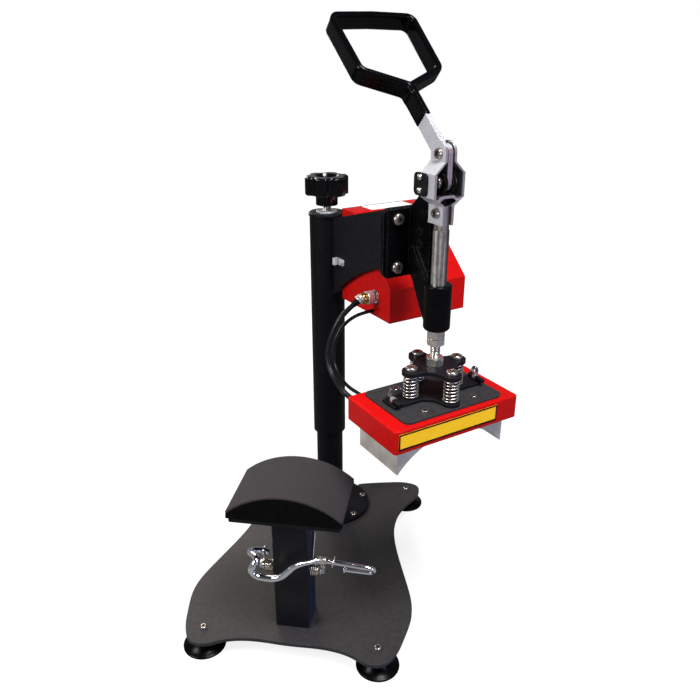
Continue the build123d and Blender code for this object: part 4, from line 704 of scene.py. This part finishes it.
ring_outline = [(6.6, 0), (7.9, 0), (8.5, 0.5), (8.5, 1.5), (8.6, 1.7), (8.6, 4.5), (8.6, 7.3)]
ring_outline += [(8.5, 7.5), (8.5, 8.5), (7.9, 9), (6.0, 9)]
shell_outline = [(5.2, 8.5), (7.0, 9), (7.0, 11.2), (6.2, 11.7), (6.2, 12.4), (7.2, 12.9), (7.2, 15.6)]
shell_outline += [(6.6, 16.4), (4.6, 17)]
socket_face = arm_point(-2, -119.5, 418)
boot_start, boot_end = arm_point(-18.3, -119.65, 419.8), arm_point(*HEAD_CABLE_POINTS[0])
boot_run = boot_end - boot_start
boot_length = boot_run.length / MM
collar_length = 6.5
collar_outline = [(4.6, -1.5), (6.0, -0.5), (6.3, 0), (6.3, 1.6), (5.5, 2.1), (5.5, 2.9), (6.2, 3.4)]
collar_outline += [(6.2, 5.6), (5.6, collar_length), (4.4, collar_length)]
boot_outline = [(4.3, 6), (4.6, collar_length), (4.6, 8), (4.0, 8.6), (4.0, 9.4), (4.5, 10), (4.4, 11.4)]
boot_outline += [(3.8, 12), (3.8, 12.8), (4.0, boot_length), (3.45, boot_length)]

ring = spun(ring_outline, socket_face, -ACROSS, FLUTES * 4, knurl)
shell = spun(shell_outline, socket_face, -ACROSS, 48)
plug_collar = spun(collar_outline, boot_start, boot_run, 48)
boot = spun(boot_outline, boot_start, boot_run, 48)
plug_pieces = [
    make_piece("plug_ring", ring, NICKEL, "arm", "cable_plug", crisp=40),
    make_piece("plug_shell", shell, BRASS, "arm", crisp=40),
    make_piece("plug_collar", plug_collar, NICKEL, "arm", crisp=40),
    make_piece("plug_boot", boot, RUBBER, "arm"),
]
HEAD_CABLE_LENGTH, HEAD_CABLE_WIDTH, SENSOR_CABLE_LENGTH, SENSOR_CABLE_WIDTH = 165.5, 6.8, 181.8, 4.6
cable(
    "head_cable_line", HEAD_CABLE_POINTS, HEAD_CABLE_WIDTH, "head_cable"
)
cable(
    "sensor_cable_line", SENSOR_CABLE_POINTS, SENSOR_CABLE_WIDTH, "sensor_cable"
)
print("plug flutes:", FLUTES)

# %% [markdown]
# ## Suction feet
# Each foot is a rubber suction cup with a thick neck and a thin flared skirt. The neck passes smoothly
# into the skirt, so the outline is drawn with many small steps instead of a few straight ones.

# %% Feet
cup_outline = [(3.2, 21.6), (10.8, 22), (11.8, 21.4), (12, 20.4), (12, 18.4), (12.2, 16.6), (12.9, 14.6)]
cup_outline += [(14.3, 12.2), (16.4, 9.6), (19, 7.1), (21.8, 5), (24.4, 3.5), (26.6, 2.7), (27.4, 2.1)]
cup_outline += [(27.5, 1.2), (27.3, 0.3), (26.6, 0), (25.4, 0.2), (22, 1.4), (16, 3.2), (10, 4.4), (3.2, 5.2)]
FOOT_PLACES = ((113, -293), (-113, -293), (118.5, 58), (-118.5, 58))
feet = joined([spun(cup_outline, Vector((x, y, 0)) * MM, UP, 72) for x, y in FOOT_PLACES])
make_piece("suction_feet", feet, RUBBER, "base", "foot_pads", crisp=50)
print("suction feet:", len(FOOT_PLACES))

# %% [markdown]
# ## Springs and threads
# A coil is a round wire carried along a helix. The end coils of a compression spring are closed and
# ground flat, so the pitch falls to one wire at both ends and the outermost points are cut level. A
# thread is a cylinder whose radius rises and falls along the helix of its pitch, here 1.75 mm.


# %% Wire and thread helpers
THREAD_PITCH = 1.75
TURN_STEPS = 32


def wire(points, radius, sides=10):
    """A round wire along a list of places. Its radius is one number, or a list with one for each place."""
    radii = radius if isinstance(radius, list) else [radius] * len(points)
    vertices, faces = [], []
    side = (points[1] - points[0]).orthogonal()
    for i, place in enumerate(points):
        ahead = (points[min(i + 1, len(points) - 1)] - points[max(i - 1, 0)]).normalized()
        side = (side - ahead * side.dot(ahead)).normalized()
        lift = ahead.cross(side)
        for k in range(sides):
            angle = 2 * math.pi * k / sides
            vertices.append(place + (side * math.cos(angle) + lift * math.sin(angle)) * radii[i])
    for i in range(len(points) - 1):
        for k in range(sides):
            n = (k + 1) % sides
            faces.append((i * sides + k, i * sides + n, (i + 1) * sides + n, (i + 1) * sides + k))
    faces.append(tuple(range(sides)))
    faces.append(tuple((len(points) - 1) * sides + k for k in range(sides)))
    return vertices, faces


def threaded(centre, bottom, top, crest=5.95, root=5.0):
    """A threaded bar: the radius follows a helix of the thread's pitch."""
    steps, rows_per_turn = 40, 6
    rows = int((top - bottom) / THREAD_PITCH * rows_per_turn)
    vertices, faces = [], []
    for row in range(rows + 1):
        z = bottom + (top - bottom) * row / rows
        for i in range(steps):
            angle = 2 * math.pi * i / steps
            share = (z / THREAD_PITCH - angle / (2 * math.pi)) % 1
            radius = root + (crest - root) * (1 - abs(2 * share - 1))
            offset = Vector((math.cos(angle) * radius, math.sin(angle) * radius, z)) * MM
            vertices.append(centre + offset)
    for row in range(rows):
        for i in range(steps):
            j = (i + 1) % steps
            faces.append((row * steps + i, row * steps + j, (row + 1) * steps + j, (row + 1) * steps + i))
    faces.append(tuple(range(steps)))
    faces.append(tuple(rows * steps + i for i in range(steps)))
    return vertices, faces


print("a turn of wire is drawn in", TURN_STEPS, "steps")

# %% Compression springs
SPRING_BOTTOM, SPRING_TOP = 340, 369
SPRING_PLACES = ((33, 0), (0, 33), (-33, 0), (0, -33))
WIRE_RADIUS, COIL_RADIUS, COILS = 0.95, 8.2, 8
CLOSED_TURNS, CLOSED_PRESS, HEAD_FLOAT = 0.9, 0.98, 6
free_pitch = (SPRING_TOP - SPRING_BOTTOM - 2 * WIRE_RADIUS * (1 + CLOSED_TURNS)) / (COILS - 2 * CLOSED_TURNS)
coils = []
for x, y in SPRING_PLACES:
    centre = arm_point(x, SPINDLE_Y + y, 0)
    path = []
    for i in range(COILS * TURN_STEPS + 1):
        turns = i / TURN_STEPS
        closed = min(turns, CLOSED_TURNS) + max(turns - COILS + CLOSED_TURNS, 0)
        free = min(max(turns - CLOSED_TURNS, 0), COILS - 2 * CLOSED_TURNS)
        z = SPRING_BOTTOM + WIRE_RADIUS + closed * 2 * WIRE_RADIUS * CLOSED_PRESS + free * free_pitch
        angle = 2 * math.pi * turns
        path.append(centre + Vector((math.cos(angle) * COIL_RADIUS, math.sin(angle) * COIL_RADIUS, z)) * MM)
    vertices, faces = wire(path, WIRE_RADIUS * MM)
    for vertex in vertices:
        vertex.z = min(max(vertex.z, SPRING_BOTTOM * MM), SPRING_TOP * MM)
    coils.append((vertices, faces))
head_springs = make_piece(
    "head_springs", joined(coils), NUT_ZINC, "plunger", "compression_springs"
)
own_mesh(head_springs)
print("springs:", len(coils), "of", COILS, "coils")

# %% Spring bushes
bush_outline = [(3.6, 0), (5.9, 0), (6.2, 0.3), (6.2, 21.7), (5.9, 22), (3.6, 22)]
BUSH_LIFT = 0.2
seats = [arm_point(x, SPINDLE_Y + y, SPRING_BOTTOM + BUSH_LIFT) for x, y in SPRING_PLACES]
bushes = joined([spun(bush_outline, seat, UP, 40) for seat in seats])
make_piece("spring_bushes", bushes, ABS, "head", crisp=40)
print("spring bushes:", len(seats))

# %% Threaded parts
STUD_BOTTOM, STUD_TOP, SCREW_BOTTOM, SCREW_TOP = 369.05, 441, 472, 539.5
stud_thread = threaded(arm_point(0, SPINDLE_Y, 0), STUD_BOTTOM, STUD_TOP)
screw_thread = threaded(Vector((0, 0, 0)), SCREW_BOTTOM, SCREW_TOP)
make_piece("threaded_stud", stud_thread, NUT_ZINC, "plunger", "adjusting_stud")
make_piece("threaded_height_screw", screw_thread, NUT_ZINC, "height_knob", "height_screw")
print("threads of", THREAD_PITCH, "mm pitch: 2")

# %% [markdown]
# ## Foam on the form
# A sheet of silicone sponge, three millimetres thick, is glued over the curved form. It is cut with a
# knife, so its ends stand upright and its edges are soft. It is built as a grid along the arc, then its
# rim is rounded.

# %% Form pad
FORM_CENTRE_Z, FORM_RADIUS, PAD, RIM_ROUND = 136.5, 105, 3, 0.9
HALF_LENGTH, FRONT_Y, REAR_Y = 69.5, -297.8, -206.2
pad_shape = bmesh.new()
columns, rows = 56, 30
sheets = []
for radius in (FORM_RADIUS, FORM_RADIUS - PAD):
    sheet = []
    for i in range(columns + 1):
        x = -HALF_LENGTH + 2 * HALF_LENGTH * i / columns
        z = FORM_CENTRE_Z + math.sqrt(radius**2 - x**2)
        line = []
        for j in range(rows + 1):
            y = FRONT_Y + (REAR_Y - FRONT_Y) * j / rows
            line.append(pad_shape.verts.new(Vector((x, y, z)) * MM))
        sheet.append(line)
    sheets.append(sheet)
for sheet in sheets:
    for i in range(columns):
        for j in range(rows):
            pad_shape.faces.new((sheet[i][j], sheet[i + 1][j], sheet[i + 1][j + 1], sheet[i][j + 1]))
for i in range(columns):
    for j in (0, rows):
        pad_shape.faces.new((sheets[0][i][j], sheets[0][i + 1][j], sheets[1][i + 1][j], sheets[1][i][j]))
for j in range(rows):
    for i in (0, columns):
        pad_shape.faces.new((sheets[0][i][j], sheets[0][i][j + 1], sheets[1][i][j + 1], sheets[1][i][j]))
bmesh.ops.recalc_face_normals(pad_shape, faces=pad_shape.faces)
rim = [edge for edge in pad_shape.edges if edge.calc_face_angle(0) > math.radians(50)]
bmesh.ops.bevel(pad_shape, geom=rim, offset=RIM_ROUND * MM, segments=3, affect="EDGES", profile=0.5)
pad_data = bpy.data.meshes.new("form_foam")
pad_shape.to_mesh(pad_data)
pad_shape.free()
form_foam = place_piece("form_foam", pad_data, FOAM, "base", "form_pad")
print("foam faces:", len(pad_data.polygons))

# %% [markdown]
# ## Dipped vinyl grip
# The two flat bars of the handle are dipped in liquid vinyl after bending, which wraps them in one skin.
# Where the bars part, the skin bridges them with a soft web. To get that, each leg is made as a rounded
# bar along the same bends, and the pieces are fused by remeshing to small cells and smoothed.


# %% Grip
LEAN = math.radians(48)
LEAN_UP = BACK * math.sin(LEAN) + UP * math.cos(LEAN)
LEAN_OUT = BACK * math.cos(LEAN) - UP * math.sin(LEAN)
LOOP_ORIGIN = arm_point(0, SPINDLE_Y, 584) - LEAN_OUT * 18 * MM


def bent_line(corners, radii, step=2.5):
    """A flat line through corners rounded by the radii, as places in millimetres."""
    corners = [Vector(c) for c in corners]
    places = [corners[0]]
    for before, corner, after, radius in zip(corners, corners[1:], corners[2:], radii):
        inward, outward = (before - corner).normalized(), (after - corner).normalized()
        half = inward.angle(outward) / 2
        reach = radius / math.tan(half)
        centre = corner + (inward + outward).normalized() * (radius / math.sin(half))
        start, end = corner + inward * reach, corner + outward * reach
        turn = math.pi - 2 * half
        count = max(4, int(radius * turn / 1.2))
        first, last = start - centre, end - centre
        for i in range(count + 1):
            share = i / count
            spoke = first * math.sin((1 - share) * turn) + last * math.sin(share * turn)
            places.append(centre + spoke / math.sin(turn))
    places.append(corners[-1])
    return places


def rounded_bar(shape, places, half_thick, half_deep, corner):
    """Adds a bar of rounded section along a flat line in the plane of the handle loop."""
    section = []
    for sx, sy, start in ((1, 1, 0), (-1, 1, 90), (-1, -1, 180), (1, -1, 270)):
        for k in range(4):
            angle = math.radians(start + 30 * k)
            thick = sx * (half_thick - corner) + corner * math.cos(angle)
            section.append((thick, sy * (half_deep - corner) + corner * math.sin(angle)))
    rings = []
    for i, place in enumerate(places):
        ahead = (places[min(i + 1, len(places) - 1)] - places[max(i - 1, 0)]).normalized()
        normal = Vector((-ahead.y, ahead.x))
        ring = []
        for thick, deep in section:
            flat = place + normal * thick
            offset = ACROSS * flat.x + LEAN_UP * flat.y - LEAN_OUT * deep
            ring.append(shape.verts.new(LOOP_ORIGIN + offset * MM))
        rings.append(ring)
    for one, two in zip(rings, rings[1:]):
        for k in range(len(section)):
            n = (k + 1) % len(section)
            shape.faces.new((one[k], one[n], two[n], two[k]))
    shape.faces.new(rings[0])
    shape.faces.new(rings[-1])


SKIN, BAR_HALF, BAR_DEEP = 2.4, 1.45, 8.7
LEG_CORNERS, BEND_RADII = ((1.6, 100), (1.6, 111), (52, 134), (54, 214), (-1, 216)), (6, 9, 9)
NECK, NECK_HALF = ((0, 68.4), (0, 90), (0, 113)), 4.6
NECK_ROUND, LEG_ROUND, FUSE_CELL = 3.4, 3.7, 0.8
grip_shape = bmesh.new()
rounded_bar(grip_shape, [Vector(place) for place in NECK], NECK_HALF, BAR_DEEP + SKIN, NECK_ROUND)
for outward in (-1, 1):
    leg = [(outward * x, up) for x, up in LEG_CORNERS]
    rounded_bar(grip_shape, bent_line(leg, BEND_RADII), BAR_HALF + SKIN, BAR_DEEP + SKIN, LEG_ROUND)
bmesh.ops.recalc_face_normals(grip_shape, faces=grip_shape.faces)
grip_data = bpy.data.meshes.new("grip_raw")
grip_shape.to_mesh(grip_data)
grip_shape.free()
grip_raw = bpy.data.objects.new("grip_raw", grip_data)
bpy.context.scene.collection.objects.link(grip_raw)
remesh = grip_raw.modifiers.new("fuse", "REMESH")
remesh.mode = "VOXEL"
remesh.voxel_size = FUSE_CELL * MM
smooth = grip_raw.modifiers.new("flow", "SMOOTH")
smooth.factor = 0.5
smooth.iterations = 6
evaluated = grip_raw.evaluated_get(bpy.context.evaluated_depsgraph_get())
vinyl_data = bpy.data.meshes.new_from_object(evaluated)
bpy.data.objects.remove(grip_raw)
place_piece("vinyl_grip", vinyl_data, VINYL, "handle", "handle_grip")
print("grip faces:", len(vinyl_data.polygons))

# %% [markdown]
# ## Bumper plates on the link
# A black plate is riveted to the outside of each bulge of the link. It keeps fingers away from the pinch
# between the link and the handle. Two bright rivets hold each plate.

# %% Bumper plates
BULGE_X, BUMPER_SHEET = 20.05, 2.4
BUMPER_Y, BUMPER_Z, BUMPER_CORNER = (-251.5, -229.5), (570, 594), 5
RIVET_BACK, RIVET_HEIGHTS = 12, (589.5, 575.5)


def plate_outline(low, high, corner, steps=6):
    """A rectangle with rounded corners, as places in its plane."""
    places = []
    for cx, cy, start in (
        (high[0] - corner, high[1] - corner, 0),
        (low[0] + corner, high[1] - corner, 90),
        (low[0] + corner, low[1] + corner, 180),
        (high[0] - corner, low[1] + corner, 270),
    ):
        for k in range(steps + 1):
            angle = math.radians(start + 90 * k / steps)
            places.append((cx + corner * math.cos(angle), cy + corner * math.sin(angle)))
    return places


def slab(outline, place, thickness_mm):
    """Vertices and faces of an outline given a thickness. place turns (u, v, depth) into a point."""
    count = len(outline)
    vertices = [place(u, v, depth) for depth in (0, thickness_mm) for u, v in outline]
    faces = [tuple(range(count)), tuple(range(count, 2 * count))]
    for k in range(count):
        n = (k + 1) % count
        faces.append((k, n, count + n, count + k))
    return vertices, faces


bumper_outline = plate_outline((BUMPER_Y[0], BUMPER_Z[0]), (BUMPER_Y[1], BUMPER_Z[1]), BUMPER_CORNER)
bumpers, rivets = [], []
rivet_outline = [(3.4, 0), (3.3, 0.7), (2.7, 1.4), (1.6, 1.85), (0.4, 2.0)]
for outward in (-1, 1):
    bumpers.append(
        slab(bumper_outline, lambda u, v, depth: arm_point(outward * (BULGE_X + depth), u, v), BUMPER_SHEET)
    )
    for z in RIVET_HEIGHTS:
        seat = arm_point(outward * (BULGE_X + BUMPER_SHEET), SPINDLE_Y + RIVET_BACK, z)
        rivets.append(spun(rivet_outline, seat, ACROSS * outward, 24))
make_piece("link_bumpers", joined(bumpers), BLACK_POWDER, "link", smooth=False)
make_piece("bumper_rivets", joined(rivets), NUT_ZINC, "link", crisp=50)
print("bumper plates:", len(bumpers), "rivets:", len(rivets))

# %% [markdown]
# ## End hooks of the head
# At each end of the head plate a thin black rod passes through a bright collar, and a bent chrome strip
# curls over it. The strips are drawn as a smooth line through a few places, then given their section.


# %% End hooks
ROD_RADIUS, STRIP_FRONT, STRIP_WIDTH, STRIP_THICKNESS = 2.9, 2.5, 5, 1.2
HOOK_STRIPS = (
    ((-60.5, 341), (-60, 345), (-56.5, 349.5), (-51, 352.5), (-46, 353), (-43.5, 350.5)),
    ((70, 342), (71, 346), (70, 350.5), (67.5, 352.5), (64.5, 350.5), (63, 346.5), (64.5, 342.5)),
)


def through(places, steps=6):
    """A smooth line through places: a Catmull-Rom curve."""
    places = [Vector(place) for place in places]
    padded = [places[0] * 2 - places[1], *places, places[-1] * 2 - places[-2]]
    line = []
    for before, start, end, after in zip(padded, padded[1:], padded[2:], padded[3:]):
        for i in range(steps):
            t = i / steps
            line.append(
                start
                + (end - before) * (t / 2)
                + (before * 2 - start * 5 + end * 4 - after) * (t**2 / 2)
                + (start * 3 - before - end * 3 + after) * (t**3 / 2)
            )
    return [*line, places[-1]]


def bent_strip(places):
    """A flat strip bent along a line drawn across the arm and up."""
    line = through(places)
    vertices, faces = [], []
    for i, place in enumerate(line):
        ahead = line[min(i + 1, len(line) - 1)] - line[max(i - 1, 0)]
        normal = Vector((-ahead.y, ahead.x)).normalized() * STRIP_THICKNESS / 2
        for side in (1, -1):
            for depth in (STRIP_FRONT, STRIP_FRONT + STRIP_WIDTH):
                u, v = place + normal * side
                vertices.append(arm_point(u, SPINDLE_Y + depth, v))
    last = 4 * (len(line) - 1)
    for a in range(0, last, 4):
        for k, n in ((0, 1), (1, 3), (3, 2), (2, 0)):
            faces.append((a + k, a + n, a + 4 + n, a + 4 + k))
    faces += [(a, a + 1, a + 3, a + 2) for a in (0, last)]
    return vertices, faces


strips = joined([bent_strip(places) for places in HOOK_STRIPS])
make_piece("hook_strips", strips, CHROME, "head", "end_clips", crisp=50)

rod_outline = [(1.2, -0.6), (2.4, -0.4), (ROD_RADIUS, 0.2), (ROD_RADIUS, 24.8), (2.4, 25.4), (1.2, 25.6)]
collar_outline = [(3.0, 0), (4.0, 0.3), (4.2, 1), (4.2, 3.4), (4.0, 4), (3.0, 4.3)]
HOOK_X, ROD_Z, ROD_FRONT, COLLAR_FRONT = (-59, 62), 343.4, -17, -5
rods = joined([spun(rod_outline, arm_point(x, SPINDLE_Y + ROD_FRONT, ROD_Z), BACK, 32) for x in HOOK_X])
make_piece("hook_rods", rods, BLACK_POWDER, "head", crisp=40)
collars = joined(
    [spun(collar_outline, arm_point(x, SPINDLE_Y + COLLAR_FRONT, ROD_Z), BACK, 32) for x in HOOK_X]
)
make_piece("hook_collars", collars, NUT_ZINC, "head", crisp=40)
print("end hooks: 2")

# %% [markdown]
# ## Cap tensioner
# The tensioner is one chromed bar, bent cold. It hooks round at the left, dips in front of the post, and
# ends at the right in a thinner hairpin pull. A wire arm with two eyes carries it at each side of the post.
# A torsion spring of four turns lies round the axle inside each arm, with one leg up the post's flank.

# %% Tensioner bar and arms
AXLE_Y, AXLE_Z = -262, 113
BAR_PLACES = (
    (-31, -256, 128),
    (-43, -256.5, 129.5),
    (-52, -260.5, 131),
    (-51.5, -268.5, 134),
    (-45, -276.5, 137.5),
    (-39.5, -283.5, 138),
    (-41.5, -288.5, 133.5),
    (-44.6, -290, 127.5),
    (-43.4, -290, 121.3),
    (-35.4, -290, 116.8),
    (-19.7, -290, 116.1),
    (-7.5, -290, 120.7),
    (1.1, -290, 129.2),
    (8.5, -290, 137.4),
    (18.1, -290, 143.6),
    (30, -290, 148),
    (38, -290, 151.6),
    (48, -290, 152.2),
    (58, -290, 151.2),
    (85, -290, 149),
    (101, -290, 147.6),
    (104.8, -288, 144.8),
    (105, -285.5, 139.8),
    (101, -284, 136.6),
    (86, -284, 136.7),
    (71, -284, 137.2),
)
THICK_RADIUS, THIN_RADIUS, TAPER = 4.2, 3.0, (0, 30)
ARM_X, ARM_WIRE, ARM_GAP, AXLE_RADIUS = 36.8, 1.4, 0.4, 3


def bar_radius(place):
    """The bar's radius: thick on the left, thinner towards the pull."""
    share = min(max((place.x - TAPER[0]) / (TAPER[1] - TAPER[0]), 0), 1)
    return THICK_RADIUS + (THIN_RADIUS - THICK_RADIUS) * share


def eyed_arm(x, y, z, eye_radius):
    """A wire arm: an eye round the axle, a straight run, and an eye round the bar at (y, z)."""
    run = Vector((0, y - AXLE_Y, z - AXLE_Z))
    start = math.atan2(run.z, run.y)
    line = []
    for centre_y, centre_z, radius, first in (
        (AXLE_Y, AXLE_Z, AXLE_RADIUS + ARM_GAP + ARM_WIRE, start),
        (y, z, eye_radius + ARM_GAP + ARM_WIRE, start + math.pi),
    ):
        for i in range(TURN_STEPS + 1):
            angle = first + 2 * math.pi * i / TURN_STEPS
            y_place = centre_y + radius * math.cos(angle)
            line.append(Vector((x, y_place, centre_z + radius * math.sin(angle))) * MM)
    return wire(line, ARM_WIRE * MM)


bar_line = through(BAR_PLACES, 8)
bar_parts = [wire([place * MM for place in bar_line], [bar_radius(place) * MM for place in bar_line], 20)]
stop_outline = [(2, -0.3), (4.3, 0), (4.6, 0.5), (4.6, 1.7), (4.2, 2.2), (2, 2.4)]
bar_parts.append(spun(stop_outline, bar_line[-1] * MM, -Vector((1, 0, 0)), 28))
HOOK_BOTTOM, LEFT_EYE_FRONT = 120, -258
for x in (-ARM_X, ARM_X):
    near = [place for place in bar_line if place.z > HOOK_BOTTOM and (x > 0 or place.y > LEFT_EYE_FRONT)]
    crossing = min(near, key=lambda place: abs(place.x - x))
    bar_parts.append(eyed_arm(x, crossing.y, crossing.z, bar_radius(crossing)))
make_piece(
    "tensioner_bar", joined(bar_parts), CHROME, "tensioner", "tensioner_rod", crisp=50
)
print("bar drawn through", len(BAR_PLACES), "places")

# %% Collar and ring on the bar
collar_start, collar_end = Vector((39, -290, 151.8)), Vector((49, -290, 152.2))
RING_PLACE, RING_RADIUS, RING_LEAN, RING_WIRE = Vector((57.5, -290, 151.3)), 6.2, 1.2, 0.9
band_outline = [(3.3, 0), (4.7, 0.3), (4.9, 0.9), (4.9, 9), (4.7, 9.7), (3.3, 10)]
band = spun(band_outline, collar_start * MM, collar_end - collar_start, 36)
ring_line = []
for i in range(41):
    angle = 2 * math.pi * i / 40
    y, z = RING_RADIUS * math.cos(angle), RING_RADIUS * math.sin(angle)
    ring_line.append((RING_PLACE + Vector((RING_LEAN * math.sin(angle), y, z))) * MM)
pull_ring = wire(ring_line, RING_WIRE * MM)
make_piece("bar_collar", joined([band, pull_ring]), NUT_ZINC, "tensioner", crisp=40)
print("collar", round((collar_end - collar_start).length, 1), "mm long")

# %% Torsion springs
LEG_TOP_Y, LEG_TOP_Z, LEG_BEND, POST_HALF = -235, 148, (0.3, 0.8), 22
TORSION_RADIUS, TORSION_WIRE, TORSION_TURNS, TORSION_PITCH, TORSION_X = 7, 1.05, 4, 2.6, 23.6
leg_run = Vector((LEG_TOP_Y - AXLE_Y, LEG_TOP_Z - AXLE_Z))
leg_angle = math.atan2(leg_run.y, leg_run.x) - math.acos(TORSION_RADIUS / leg_run.length)
torsion = []
for outward in (-1, 1):
    line = [
        Vector((outward * POST_HALF, LEG_TOP_Y, LEG_TOP_Z)),
        Vector((outward * TORSION_X, LEG_TOP_Y, LEG_TOP_Z)),
        Vector((outward * TORSION_X, LEG_TOP_Y - LEG_BEND[0], LEG_TOP_Z - LEG_BEND[1])),
    ]
    for i in range(TORSION_TURNS * TURN_STEPS + 1):
        turns = i / TURN_STEPS
        angle = leg_angle - 2 * math.pi * turns
        y, z = AXLE_Y + TORSION_RADIUS * math.cos(angle), AXLE_Z + TORSION_RADIUS * math.sin(angle)
        line.append(Vector((outward * (TORSION_X + turns * TORSION_PITCH), y, z)))
    torsion.append(wire([place * MM for place in line], TORSION_WIRE * MM))
make_piece(
    "coiled_torsion_springs", joined(torsion), SPRING_CHROME, "base", "torsion_springs"
)
print("torsion springs:", len(torsion), "of", TORSION_TURNS, "turns")

# %% [markdown]
# ## Screws of the rear cover
# The rear cover of the control box is held by a pan-head screw near each corner.

# %% Rear cover screws
screw_outline = [(3.5, 0), (3.5, 0.8), (3.1, 1.6), (2.3, 2.1), (1.2, 2.3)]
COVER_Y = -33.45
corners = [(x, z) for x in (12, 116) for z in (398, 508)]
screws = joined([spun(screw_outline, arm_point(x, COVER_Y, z), BACK, 24) for x, z in corners])
make_piece("cover_screws", screws, NUT_ZINC, "arm", crisp=50)
print("rear cover screws:", len(corners))

# %% [markdown]
# ## Labels
# The front of the head carries a yellow hazard plate with a black border, left blank. The top of the
# control box has a plain white paper label. Both are thin, so they are low boxes, a tenth of a
# millimetre proud.


# %% Label pieces
LABEL_PROUD = 0.12
BORDER_CORNER, BORDER_SIZE, BORDER_BAND = arm_point(-84, SPINDLE_Y - 51.4, 308.5), (140, 20), 2.0


def border_frame():
    """A thin flat frame: an outer and an inner rectangle with a band between them, at two depths."""
    vertices = []
    for depth in (0, LABEL_PROUD):
        for inset in (0, BORDER_BAND):
            far, top = BORDER_SIZE[0] - inset, BORDER_SIZE[1] - inset
            for u, v in ((inset, inset), (far, inset), (far, top), (inset, top)):
                vertices.append(BORDER_CORNER + (ACROSS * u + UP * v - BACK * depth) * MM)
    around = ((0, 1), (1, 2), (2, 3), (3, 0))
    faces = [(base + k, base + n, base + 4 + n, base + 4 + k) for base in (0, 8) for k, n in around]
    faces += [(ring + k, ring + n, 8 + ring + n, 8 + ring + k) for ring in (0, 4) for k, n in around]
    return vertices, faces


make_piece("label_border", border_frame(), LABEL_BLACK, "head", smooth=False)
LABEL_CORNER, LABEL_SIZE = arm_point(33, -62.5, 516), (66, 26)
box_label = slab(
    plate_outline((0, 0), LABEL_SIZE, 2, 4),
    lambda u, v, depth: LABEL_CORNER + (ACROSS * u + BACK * v + UP * depth) * MM,
    LABEL_PROUD,
)
make_piece("box_top_label", box_label, LABEL_WHITE, "arm", smooth=False)
print("labels: 2")
